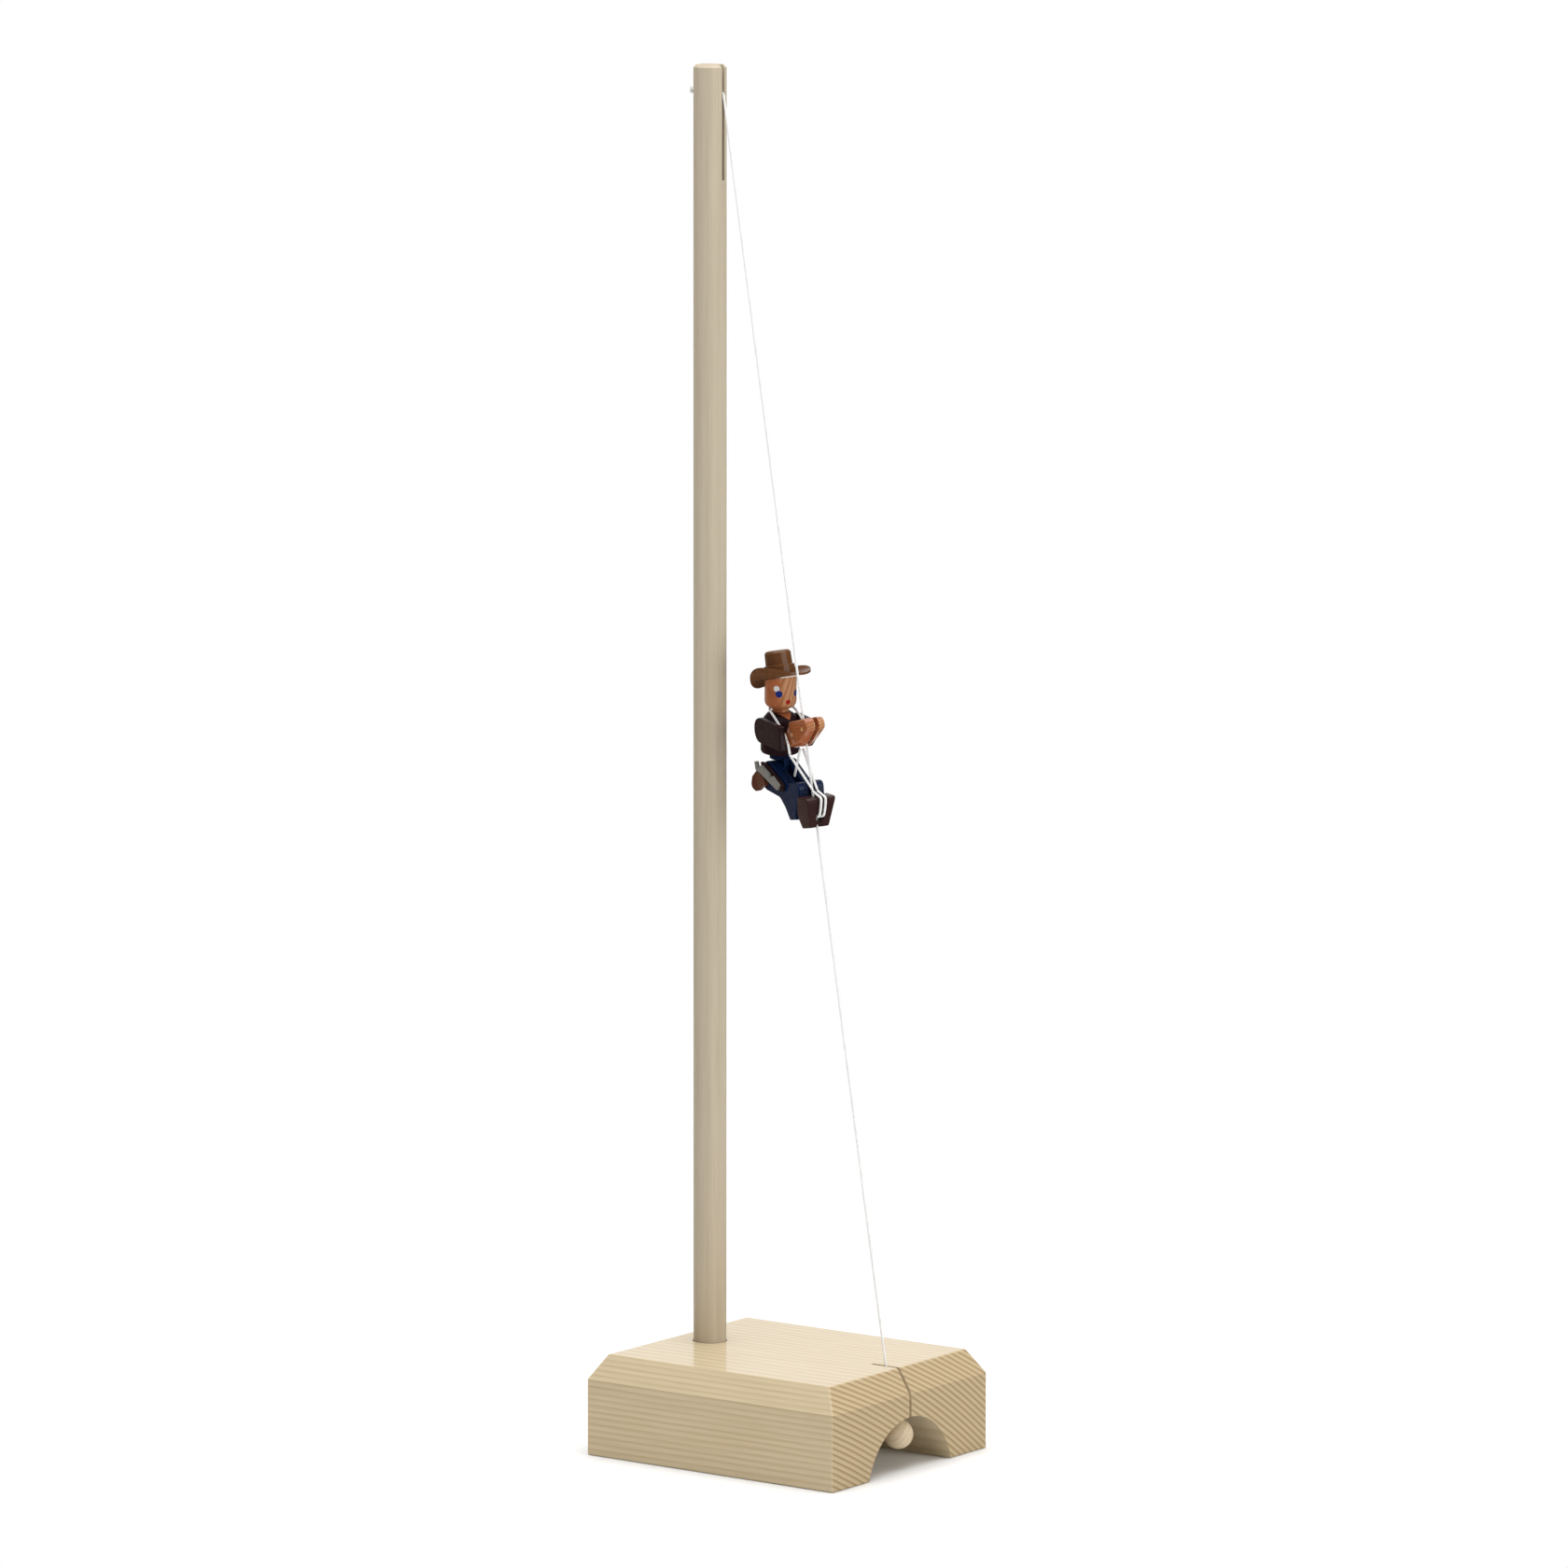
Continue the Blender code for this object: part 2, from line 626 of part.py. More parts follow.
def build_head(material, spine_axis, hat_axis):
    """Head, neck and peg, turned in one piece, with the top sawn off square to the hat."""
    blank_top = HEAD_TOP + HEAD_RADIUS * math.tan(SPINE_LEAN - HAT_LEAN) + GLUE_GAP
    turns = (math.pi / 2 * step / CHIN_STEPS for step in range(CHIN_STEPS + 1))
    chin = [(HEAD_RADIUS - CHIN_ROUND * (1 - math.sin(turn)),
             CHIN_HEIGHT + CHIN_ROUND * (1 - math.cos(turn))) for turn in turns]
    head = turned("head", [
        (0, TORSO_HEIGHT - PEG_LENGTH), (TORSO_BORE / 2, TORSO_HEIGHT - PEG_LENGTH),
        (TORSO_BORE / 2, TORSO_HEIGHT + GLUE_GAP), (NECK_RADIUS, TORSO_HEIGHT + GLUE_GAP),
        (NECK_RADIUS, CHIN_HEIGHT),
        *chin,
        (HEAD_RADIUS, blank_top), (0, blank_top),
    ], material, spine_axis, segments=36)
    waste = box("head_waste", (-BRIM_HALF_LENGTH, -BRIM_HALF_WIDTH, -GLUE_GAP),
                (BRIM_HALF_LENGTH, BRIM_HALF_WIDTH, CROWN_HEIGHT), hat_axis)
    boolean(head, waste)


def build_waist(material, spine_axis, hip_axis):
    """The turned waist with its peg, and the flat tongue that hangs between the thighs."""
    waist = turned("waist", [
        (0, -WAIST_LENGTH), (WAIST_RADIUS, -WAIST_LENGTH), (WAIST_RADIUS, 0),
        (TORSO_BORE / 2, 0), (TORSO_BORE / 2, PEG_LENGTH), (0, PEG_LENGTH),
    ], material, spine_axis)
    half = LEG_SPACE / 2 - TONGUE_CLEARANCE
    outline = [(TONGUE_RADIUS * math.cos(turn), TONGUE_RADIUS * math.sin(turn))
               for turn in (math.pi * (1 + step / TONGUE_STEPS) for step in range(TONGUE_STEPS + 1))]
    reach = WAIST_REACH + WAIST_LENGTH / 2
    outline += [(TONGUE_RADIUS, reach), (-TONGUE_RADIUS, reach)]
    tongue = extruded("tongue_part", outline, -half, half, parent=hip_axis)
    tongue.rotation_euler.y = SPINE_LEAN
    boolean(waist, tongue, "UNION")
    pin_hole(waist, HIP, hip_axis, HIP, -half, half)


def build_hat(material, hat_axis):
    """The unevenly curled brim and the tapered crown with its raised band."""
    segments, rings = 48, 6
    bm = bmesh.new()
    layers = []
    for level in (0, BRIM_THICKNESS):
        centre = bm.verts.new((0, 0, level))
        circles = []
        for ring in range(1, rings + 1):
            share = (ring - 1) / (rings - 1)
            long = BRIM_FLAT_RADIUS + (BRIM_HALF_LENGTH - BRIM_FLAT_RADIUS) * share
            wide = BRIM_FLAT_RADIUS + (BRIM_HALF_WIDTH - BRIM_FLAT_RADIUS) * share
            circle = []
            for step in range(segments):
                turn = math.tau * step / segments
                bend = turn - BRIM_TWIST
                side = math.sin(bend) ** 2
                curl = BRIM_CURL_LEFT if math.sin(bend) > 0 else BRIM_CURL_RIGHT
                dip = BRIM_FRONT_DIP if math.cos(bend) > 0 else BRIM_REAR_DIP
                lift = share ** BRIM_CURL_POWER * (curl * side - dip * (1 - side))
                circle.append(bm.verts.new((long * math.cos(turn), wide * math.sin(turn), level + lift)))
            circles.append(circle)
        layers.append((centre, circles))
    for centre, circles in layers:
        for step in range(segments):
            after = (step + 1) % segments
            bm.faces.new((centre, circles[0][step], circles[0][after]))
            for inner, outer in zip(circles, circles[1:]):
                bm.faces.new((inner[step], outer[step], outer[after], inner[after]))
    low, high = layers[0][1][-1], layers[1][1][-1]
    for step in range(segments):
        after = (step + 1) % segments
        bm.faces.new((low[step], high[step], high[after], low[after]))
    finish("hat_brim", bm, material, hat_axis)

    foot = BRIM_THICKNESS + GLUE_GAP
    slope = (CROWN_FOOT_RADIUS - CROWN_TOP_RADIUS) / CROWN_HEIGHT
    band_radius = CROWN_FOOT_RADIUS - slope * BAND_HEIGHT
    turned("hat_crown", [
        (0, foot), (CROWN_FOOT_RADIUS, foot), (CROWN_FOOT_RADIUS, foot + BAND_HEIGHT),
        (band_radius - BAND_PROUD, foot + BAND_HEIGHT + BAND_PROUD),
        *((CROWN_TOP_RADIUS + wider, foot + CROWN_HEIGHT - lower) for wider, lower in CROWN_ROUNDING),
        (0, foot + CROWN_HEIGHT),
    ], material, hat_axis)


def build_arms(sleeve_material, skin_material, pin_material, tilt_axis):
    """Sleeve boards, hand plates, the wrist dowel that joins them and the two string pins."""
    sides = ((-1, "right", RIGHT_SLEEVE_OUTLINE), (1, "left", LEFT_SLEEVE_OUTLINE))
    for side, word, sleeve_outline in sides:
        sleeve = extruded(word + "_sleeve", rounded(sleeve_outline, steps=6), side * SLEEVE_INNER,
                          side * SLEEVE_OUTER, sleeve_material, tilt_axis, REAR_PIN)
        soften(sleeve, BOARD_EDGE)
        blind = rod(word + "_wrist_hole", PIN_RADIUS + PIN_GAP, side * (SLEEVE_INNER - OVERSHOOT),
                    side * (SLEEVE_INNER + WRIST_PIN_DEPTH + GLUE_GAP), WRIST, parent=tilt_axis,
                    about=REAR_PIN)
        boolean(sleeve, blind)
        hand = extruded(word + "_hand", rounded(PALM_OUTLINE), side * HAND_INNER, side * HAND_OUTER,
                        skin_material, tilt_axis, REAR_PIN)
        slope_to(hand, rounded(HAND_BACK_OUTLINE), side * HAND_OUTER, REAR_PIN)
        soften(hand, BOARD_EDGE)
        for place in (REAR_PIN, FRONT_PIN, WRIST):
            pin_hole(hand, place, tilt_axis, REAR_PIN, side * HAND_INNER, side * HAND_OUTER)
    wrist_reach = SLEEVE_INNER + WRIST_PIN_DEPTH
    rod("wrist_dowel", PIN_RADIUS, -wrist_reach, wrist_reach, WRIST, pin_material, tilt_axis,
        about=REAR_PIN)
    rod("front_hand_pin", PIN_RADIUS, -HAND_OUTER, HAND_OUTER, FRONT_PIN, pin_material, tilt_axis,
        about=REAR_PIN)
    rod("rear_hand_pin", PIN_RADIUS, -HAND_OUTER, HAND_OUTER, REAR_PIN, pin_material, tilt_axis,
        about=REAR_PIN)


def leg_outline():
    """A leg board's outline: round hip, thigh, knee, and the line where the boots are glued."""
    turns = (HIP_ARC[0] + (HIP_ARC[1] - HIP_ARC[0]) * step / HIP_ARC_STEPS
             for step in range(HIP_ARC_STEPS + 1))
    hip_arc = [(HIP[0] + HIP_RADIUS * math.sin(turn), HIP[1] + HIP_RADIUS * math.cos(turn), 0)
               for turn in turns]
    shin = [(x - GLUE_GAP, z, 0) for x, z in SHIN_LINE]
    return rounded([*hip_arc, *LEG_REAR, *shin, *LEG_FRONT])


def build_legs(material, pin_material, hip_axis):
    """The two leg boards and the hip pin."""
    for side, word in ((-1, "right"), (1, "left")):
        leg = extruded(word + "_leg", leg_outline(), side * LEG_INNER, side * LEG_OUTER, material,
                       hip_axis, HIP)
        soften(leg, BOARD_EDGE)
        pin_hole(leg, HIP, hip_axis, HIP, side * LEG_INNER, side * LEG_OUTER)
    rod("hip_pin", PIN_RADIUS, -LEG_OUTER, LEG_OUTER, HIP, pin_material, hip_axis, about=HIP)


def build_boots(material, hip_axis):
    """One tapered block for both boots, with a notch for the string and an eye for the elastic."""
    rear = [(x, z, 0) for x, z in SHIN_LINE]
    outline = rounded([*rear, *BOOT_FRONT])
    boots = extruded("boots", outline, -BOOT_TOP_HALF_WIDTH, BOOT_TOP_HALF_WIDTH, material, hip_axis, HIP)
    heights = [vert.co.z for vert in boots.data.vertices]
    top, sole = max(heights), min(heights)
    for vert in boots.data.vertices:
        share = (vert.co.z - sole) / (top - sole)
        vert.co.y *= (BOOT_SOLE_HALF_WIDTH + (BOOT_TOP_HALF_WIDTH - BOOT_SOLE_HALF_WIDTH) * share) \
            / BOOT_TOP_HALF_WIDTH
    soften(boots, BOARD_EDGE)
    place = Vector((-HIP[0], 0, -HIP[1]))
    notch = box("boot_notch", place + Vector((-BOOT_CUT_REACH, -LEG_INNER, -BOOT_CUT_DEPTH)),
                place + Vector((NOTCH_FRONT, LEG_INNER, 0)), hip_axis)
    eye = box("boot_eye", place + Vector((0, -EYE_WIDTH / 2, EYE_BOTTOM)),
              place + Vector((BOOT_CUT_REACH, EYE_WIDTH / 2, EYE_TOP)), hip_axis)
    slot = box("boot_slot", place + Vector((0, -SLOT_WIDTH / 2, -BOOT_CUT_DEPTH)),
               place + Vector((BOOT_CUT_REACH, SLOT_WIDTH / 2, EYE_BOTTOM + OVERSHOOT / 2)), hip_axis)
    for cutter in (slot, eye, notch):
        boolean(boots, cutter)


def build_ornament(holster_material, metal_material, grip_material, hip_axis):
    """The holster and the flat revolver on the right thigh."""
    holster_outer = LEG_OUTER + GLUE_GAP + HOLSTER_THICKNESS
    revolver_outer = holster_outer + GLUE_GAP + REVOLVER_THICKNESS
    grip_outer = LEG_OUTER + GLUE_GAP + GRIP_THICKNESS
    pieces = (
        ("holster", HOLSTER_OUTLINE, LEG_OUTER + GLUE_GAP, holster_outer, holster_material),
        ("revolver", REVOLVER_OUTLINE, holster_outer + GLUE_GAP, revolver_outer, metal_material),
        ("revolver_grip", GRIP_OUTLINE, LEG_OUTER + GLUE_GAP, grip_outer, grip_material),
    )
    for name, outline, inner, outer, material in pieces:
        extruded(name, rounded(outline, steps=3), -outer, -inner, material, hip_axis, HIP)


def on_neck(angle, lift):
    """A point round the neck, in the cowboy's frame; the angle runs from the front to the right."""
    radius = NECK_RADIUS + lift
    height = TORSO_HEIGHT + NECK_LENGTH / 2
    ahead = radius * math.cos(math.radians(angle))
    x = HEM[0] + height * SPINE.x + ahead * SPINE.y
    z = HEM[1] + height * SPINE.y - ahead * SPINE.x
    return Vector((x, -radius * math.sin(math.radians(angle)), z))


def build_elastic(material, tilt_axis, hip_axis):
    """The elastic round the neck, its two strands, its stretch over the boots and its tail."""
    lift = ELASTIC_RADIUS + GLUE_GAP
    side_place = (HAND_OUTER + SLEEVE_INNER) / 2
    tilt = Vector((REAR_PIN[0], 0, REAR_PIN[1]))
    hip = Vector((HIP[0], 0, HIP[1]))
    shoulder = Vector((SHOULDER_PLACE[0], -SHOULDER_PLACE[1], SHOULDER_PLACE[2]))
    beside_hand = [Vector((x, -side_place, z)) for x, z in HAND_ROUTE]
    right = [*(on_neck(angle, lift) for angle in NECK_ANGLES), shoulder, *beside_hand]
    left = [Vector((point.x, -point.y, point.z)) for point in right[1:] if point.z > REAR_PIN[1]]
    neck = smooth_route([*reversed(right), *left], ELASTIC_DIAMETER * 2)
    tube("neck_elastic", [point - tilt for point in neck], ELASTIC_RADIUS, material, tilt_axis)

    half = STRAND_SPREAD / 2
    over = [Vector((x, -half, z)) for x, z in BOOT_ROUTE]
    over.append(Vector((BOOT_ROUTE_TURN[0], -half / 2, BOOT_ROUTE_TURN[1])))
    back = [Vector((point.x, -point.y, point.z)) for point in reversed(over)]
    loop = smooth_route([*over, *back], ELASTIC_DIAMETER)
    tube("boot_elastic", [point - hip for point in loop], ELASTIC_RADIUS, material, hip_axis)

    foot_gap = Vector((STRAND_FOOT_SHIFT, 0, STRAND_FOOT_GAP))
    for name, top, foot in (
        ("right_strand", right[-1] - Vector((0, 0, GLUE_GAP)), over[0] + foot_gap),
        ("left_strand", Vector(LEFT_STRAND_TOP), back[-1] + foot_gap),
        ("elastic_tail", Vector(TAIL_TOP), Vector(TAIL_FOOT)),
    ):
        tube(name, [top - tilt, foot - tilt], ELASTIC_RADIUS, material, tilt_axis)


def build_cowboy():
    """Every piece of the figure, under the empties that mark its frame and its joints."""
    skin = make_material("varnished_skin_wood", (0.40, 0.12, 0.042), 0.30)
    shirt = make_material("aubergine_lacquer", (0.022, 0.009, 0.011), 0.32)
    trousers = make_material("navy_lacquer", (0.004, 0.011, 0.035), 0.28)
    leather = make_material("boot_lacquer", (0.040, 0.018, 0.017), 0.26)
    hat = make_material("hat_lacquer", (0.17, 0.075, 0.038), 0.28)
    elastic = make_material("white_elastic", (0.80, 0.80, 0.78), 0.75)
    metal = make_material("silver_grey_paint", (0.22, 0.21, 0.19), 0.45)
    grip = make_material("grip_brown", (0.10, 0.030, 0.015), 0.40)
    holster = make_material("holster_brown", (0.028, 0.012, 0.012), 0.45)
    dowel = make_material("dowel_wood", (0.62, 0.33, 0.15), 0.35)

    frame = make_empty("figure_frame", figure_matrix())
    tilt_axis = make_empty("tilt_axis", Matrix.Translation((REAR_PIN[0], 0, REAR_PIN[1])), frame)
    hip_axis = make_empty("hip_axis", Matrix.Translation((HIP[0], 0, HIP[1])), frame)
    spine_axis = make_empty("spine_axis", Matrix.Translation((HEM[0], 0, HEM[1]))
                            @ Matrix.Rotation(SPINE_LEAN, 4, "Y"), frame)
    hat_axis = make_empty("hat_axis", Matrix.Translation((0, 0, HEAD_TOP))
                          @ Matrix.Rotation(HAT_LEAN - SPINE_LEAN, 4, "Y"), spine_axis)

    build_torso(shirt, spine_axis, tilt_axis)
    build_head(skin, spine_axis, hat_axis)
    build_waist(trousers, spine_axis, hip_axis)
    build_hat(hat, hat_axis)
    build_arms(shirt, skin, dowel, tilt_axis)
    build_legs(trousers, dowel, hip_axis)
    build_boots(leather, hip_axis)
    build_ornament(holster, metal, grip, hip_axis)
    build_elastic(elastic, tilt_axis, hip_axis)


def main():
    """Builds the stand, the string and the cowboy."""
    clear_scene()
    pine = make_material("lacquered_pine", (0.66, 0.52, 0.33), 0.30)
    beech = make_material("beech_dowel", (0.53, 0.455, 0.35), 0.50)
    cord = make_material("white_string", (0.78, 0.78, 0.75), 0.80)
    ball = make_material("pale_ball_wood", (0.66, 0.54, 0.38), 0.40)
    build_base(pine)
    build_pole(beech)
    build_string(cord, ball)
    build_cowboy()
    bpy.context.view_layer.update()


main()
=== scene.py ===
"""A lacquered wooden cowboy that climbs a string beside a dowel pole.

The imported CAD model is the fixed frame. This script dresses it: solid wood with growth rings, glossy
lacquers, painted details, and twisted cords that take the place of the plain CAD cords.
"""

from __future__ import annotations

import json
import logging
import math
from dataclasses import dataclass, field
from enum import Enum

import bpy
from mathutils import Matrix, Vector

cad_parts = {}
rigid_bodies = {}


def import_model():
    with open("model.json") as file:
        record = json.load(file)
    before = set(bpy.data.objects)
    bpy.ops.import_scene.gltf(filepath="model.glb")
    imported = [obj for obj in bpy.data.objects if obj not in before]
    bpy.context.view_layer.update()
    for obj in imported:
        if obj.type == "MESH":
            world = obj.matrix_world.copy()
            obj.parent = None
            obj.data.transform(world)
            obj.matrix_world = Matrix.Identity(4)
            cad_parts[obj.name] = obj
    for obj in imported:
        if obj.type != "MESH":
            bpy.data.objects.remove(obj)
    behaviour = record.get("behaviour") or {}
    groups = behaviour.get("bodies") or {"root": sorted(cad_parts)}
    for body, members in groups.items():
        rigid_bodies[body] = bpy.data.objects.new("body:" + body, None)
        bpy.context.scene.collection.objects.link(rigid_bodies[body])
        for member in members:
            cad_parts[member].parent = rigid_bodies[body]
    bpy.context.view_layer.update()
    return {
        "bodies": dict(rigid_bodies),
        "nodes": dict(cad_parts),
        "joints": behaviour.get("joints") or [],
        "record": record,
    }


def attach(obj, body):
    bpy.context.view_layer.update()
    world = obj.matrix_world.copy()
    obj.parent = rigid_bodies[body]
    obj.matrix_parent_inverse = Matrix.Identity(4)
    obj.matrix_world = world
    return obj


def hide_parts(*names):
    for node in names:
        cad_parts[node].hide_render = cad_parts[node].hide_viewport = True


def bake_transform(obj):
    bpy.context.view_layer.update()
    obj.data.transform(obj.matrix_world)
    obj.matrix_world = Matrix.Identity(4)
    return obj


LOG = logging.getLogger("cowboy")
Colour = tuple[float, float, float]
Place = tuple[float, float, float]

# The figure's frame in the object's frame, as the CAD part places it.
FIGURE = Matrix((
    (0.885305, 0.437295, -0.158143, 0.009838),
    (-0.442868, 0.896587, 0.0, 0.0),
    (0.141789, 0.070036, 0.987416, 0.2503),
    (0.0, 0.0, 0.0, 1.0),
))

# The middle of a noise texture, taken off so that the noise wanders both ways.
NOISE_MIDDLE = 0.5

# Growth rings: the slow drift and the fibres are drawn out along the grain. The dark wood of a ring
# starts at one share of its width and is full at another.
DRIFT_STRETCH = (0.25, 1.0, 1.0)
DRIFT_SCALE = 28.0
FIBRE_STRETCH = (0.035, 1.0, 1.0)
LATE_WOOD_START = 0.30
LATE_WOOD_FULL = 0.88

# Dust nibs: full out to one distance from a cell's middle, gone at the other.
NIB_REACH = (0.04, 0.16)

# Painted edges.
RAGGED_SCALE = 1400.0
RAGGED_AMOUNT = 0.25
DAB_EDGE = (0.92, 1.08)
DAB_DEPTH = 0.002
WEDGE_EDGE = 0.00008

# Where each effect's own value starts to show, and where it shows in full.
FIBRE_SHOWS = (0.35, 0.75)
GRAIN_SHOWS = (0.45, 0.85)
POOL_SHOWS = (0.4, 0.8)
SOIL_SHOWS = (0.5, 0.8)
ROUGHNESS_SHOWS = (0.2, 0.8)
# The end-grain ramp also sets where the painted sheen on the head and hands shows.
END_GRAIN_AND_SHEEN_SHOWS = (0.4, 0.8)

# Lacquer: how far pooling changes the colour, and how high the grain and the nibs stand.
POOL_AMOUNT = 0.12
GRAIN_HEIGHT = 0.5
NIB_HEIGHT = 0.15

# Cords: how far the strands sink into each other, and the path's points in one turn.
STRAND_OVERLAP = 1.08
POINTS_PER_TURN = 9


def on_figure(place: Place) -> Vector:
    """Turns a place in the figure's frame, forward, left and up, into the object's frame."""
    return FIGURE @ Vector(place)


class GrainWay(Enum):
    """The direction that a piece's grain runs in, as the turn that brings X onto it."""

    ALONG_BLOCK = (0.0, 0.0, 0.0)
    UPRIGHT = (0.0, math.radians(90), 0.0)
    ALONG_FIGURE = (0.0, math.radians(-9), math.radians(-26))
    UP_FIGURE = (0.0, math.radians(80), math.radians(-26))


class Nodes:
    """Adds and links nodes of one tree."""

    def __init__(self, tree: bpy.types.NodeTree) -> None:
        """Keeps the tree."""
        self.tree = tree

    def add(self, kind: str, values: dict | None = None, **settings) -> bpy.types.Node:
        """Adds a node.

        Args:
            kind: the node's type name.
            values: socket to number, colour or output socket.
            settings: properties of the node, set before its sockets.

        Returns:
            The new node.
        """
        node = self.tree.nodes.new(kind)
        for name, value in settings.items():
            setattr(node, name, value)
        for key, value in (values or {}).items():
            if isinstance(value, bpy.types.NodeSocket):
                self.tree.links.new(value, node.inputs[key])
            else:
                node.inputs[key].default_value = value
        return node

    def math(self, operation: str, *values) -> bpy.types.NodeSocket:
        """Adds a Math node and returns its output."""
        return self.add("ShaderNodeMath", dict(enumerate(values)), operation=operation).outputs[0]

    def vector(self, operation: str, values: dict, output: str = "Vector") -> bpy.types.NodeSocket:
        """Adds a Vector Math node and returns one of its outputs."""
        return self.add("ShaderNodeVectorMath", values, operation=operation).outputs[output]

    def ramp(self, value, low: float, high: float, out_low: float = 0.0, out_high: float = 1.0
             ) -> bpy.types.NodeSocket:
        """Adds a smooth Map Range and returns its output."""
        node = self.add("ShaderNodeMapRange", {
            "Value": value, "From Min": low, "From Max": high, "To Min": out_low, "To Max": out_high,
        }, interpolation_type="SMOOTHSTEP")
        return node.outputs["Result"]

    def mix(self, mask, first, second) -> bpy.types.NodeSocket:
        """Mixes two colours by a mask and returns the colour."""
        node = self.add("ShaderNodeMix", data_type="RGBA")
        for index, value in ((0, mask), (6, first), (7, second)):
            if isinstance(value, bpy.types.NodeSocket):
                self.tree.links.new(value, node.inputs[index])
            elif index:
                node.inputs[index].default_value = (*value, 1.0)
            else:
                node.inputs[index].default_value = value
        return node.outputs[2]


class EffectGroups:
    """The shader effects that several finishes share."""

    def __init__(self) -> None:
        """Builds each group once."""
        self.wood = self._wood()
        self.lacquer = self._lacquer()
        self.spot = self._spot()
        self.wedge = self._wedge()

    @staticmethod
    def _group(name: str, inputs: dict, outputs: tuple[str, ...]) -> tuple:
        """Starts a group.

        Args:
            name: the group's name.
            inputs: input name to (socket type, default).
            outputs: names of the float outputs.

        Returns:
            The group, its node helper, its input node and its output node.
        """
        tree = bpy.data.node_groups.new(name, "ShaderNodeTree")
        for label, (kind, default) in inputs.items():
            socket = tree.interface.new_socket(label, in_out="INPUT", socket_type=kind)
            if default is not None:
                socket.default_value = default
        for label in outputs:
            tree.interface.new_socket(label, in_out="OUTPUT", socket_type="NodeSocketFloat")
        nodes = Nodes(tree)
        return tree, nodes, nodes.add("NodeGroupInput"), nodes.add("NodeGroupOutput")

    def _wood(self) -> bpy.types.NodeTree:
        """Growth rings round the X axis, with fine fibres along it."""
        tree, n, given, out = self._group("growth_rings", {
            "Vector": ("NodeSocketVector", None),
            "Ring Spacing": ("NodeSocketFloat", 0.003),
            "Waviness": ("NodeSocketFloat", 0.001),
            "Fibre Scale": ("NodeSocketFloat", 900.0),
        }, ("Rings", "Fibres"))
        place = given.outputs["Vector"]
        slow = n.vector("MULTIPLY", {0: place, 1: DRIFT_STRETCH})
        drift = n.add("ShaderNodeTexNoise", {"Vector": slow, "Scale": DRIFT_SCALE, "Detail": 2.0})
        split = n.add("ShaderNodeSeparateXYZ", {0: place})
        squares = n.math("ADD", n.math("POWER", split.outputs["Y"], 2.0),
                         n.math("POWER", split.outputs["Z"], 2.0))
        wander = n.math("MULTIPLY", n.math("SUBTRACT", drift.outputs["Fac"], NOISE_MIDDLE),
                        given.outputs["Waviness"])
        radius = n.math("ADD", n.math("SQRT", squares), wander)
        step = n.math("FRACT", n.math("DIVIDE", radius, given.outputs["Ring Spacing"]))
        late = n.math("MULTIPLY", n.ramp(step, LATE_WOOD_START, LATE_WOOD_FULL),
                      n.ramp(step, LATE_WOOD_FULL, 1.0, 1.0, 0.0))
        thin = n.vector("MULTIPLY", {0: place, 1: FIBRE_STRETCH})
        fibre = n.add("ShaderNodeTexNoise", {
            "Vector": thin, "Scale": given.outputs["Fibre Scale"], "Detail": 3.0, "Roughness": 0.6,
        })
        n.tree.links.new(late, out.inputs["Rings"])
        n.tree.links.new(fibre.outputs["Fac"], out.inputs["Fibres"])
        return tree

    def _lacquer(self) -> bpy.types.NodeTree:
        """Slow pooling and fine dust nibs in a dipped lacquer."""
        tree, n, given, out = self._group("dipped_lacquer", {
            "Vector": ("NodeSocketVector", None),
            "Pool Scale": ("NodeSocketFloat", 260.0),
            "Nib Scale": ("NodeSocketFloat", 1500.0),
        }, ("Pooling", "Nibs"))
        pool = n.add("ShaderNodeTexNoise", {
            "Vector": given.outputs["Vector"], "Scale": given.outputs["Pool Scale"], "Detail": 2.0,
        })
        cell = n.add("ShaderNodeTexVoronoi", {
            "Vector": given.outputs["Vector"], "Scale": given.outputs["Nib Scale"],
        })
        n.tree.links.new(pool.outputs["Fac"], out.inputs["Pooling"])
        n.tree.links.new(n.ramp(cell.outputs["Distance"], *NIB_REACH, 1.0, 0.0), out.inputs["Nibs"])
        return tree

    def _spot(self) -> bpy.types.NodeTree:
        """A dab of paint: a mask within a radius of a line through its centre, near that centre."""
        tree, n, given, out = self._group("paint_dab", {
            "Vector": ("NodeSocketVector", None),
            "Centre": ("NodeSocketVector", None),
            "Facing": ("NodeSocketVector", None),
            "Radius": ("NodeSocketFloat", 0.001),
        }, ("Mask",))
        ragged = n.add("ShaderNodeTexNoise", {"Vector": given.outputs["Vector"], "Scale": RAGGED_SCALE})
        offset = n.vector("SUBTRACT", {0: given.outputs["Vector"], 1: given.outputs["Centre"]})
        depth = n.vector("DOT_PRODUCT", {0: offset, 1: given.outputs["Facing"]}, "Value")
        along = n.add("ShaderNodeVectorMath", {0: given.outputs["Facing"], "Scale": depth},
                      operation="SCALE").outputs[0]
        reach = n.vector("LENGTH", {0: n.vector("SUBTRACT", {0: offset, 1: along})}, "Value")
        share = n.math("ADD", n.math("DIVIDE", reach, given.outputs["Radius"]),
                       n.math("MULTIPLY", n.math("SUBTRACT", ragged.outputs["Fac"], NOISE_MIDDLE),
                              RAGGED_AMOUNT))
        near = n.math("LESS_THAN", n.math("ABSOLUTE", depth), DAB_DEPTH)
        dab = n.ramp(share, *DAB_EDGE, 1.0, 0.0)
        n.tree.links.new(n.math("MULTIPLY", dab, near), out.inputs["Mask"])
        return tree

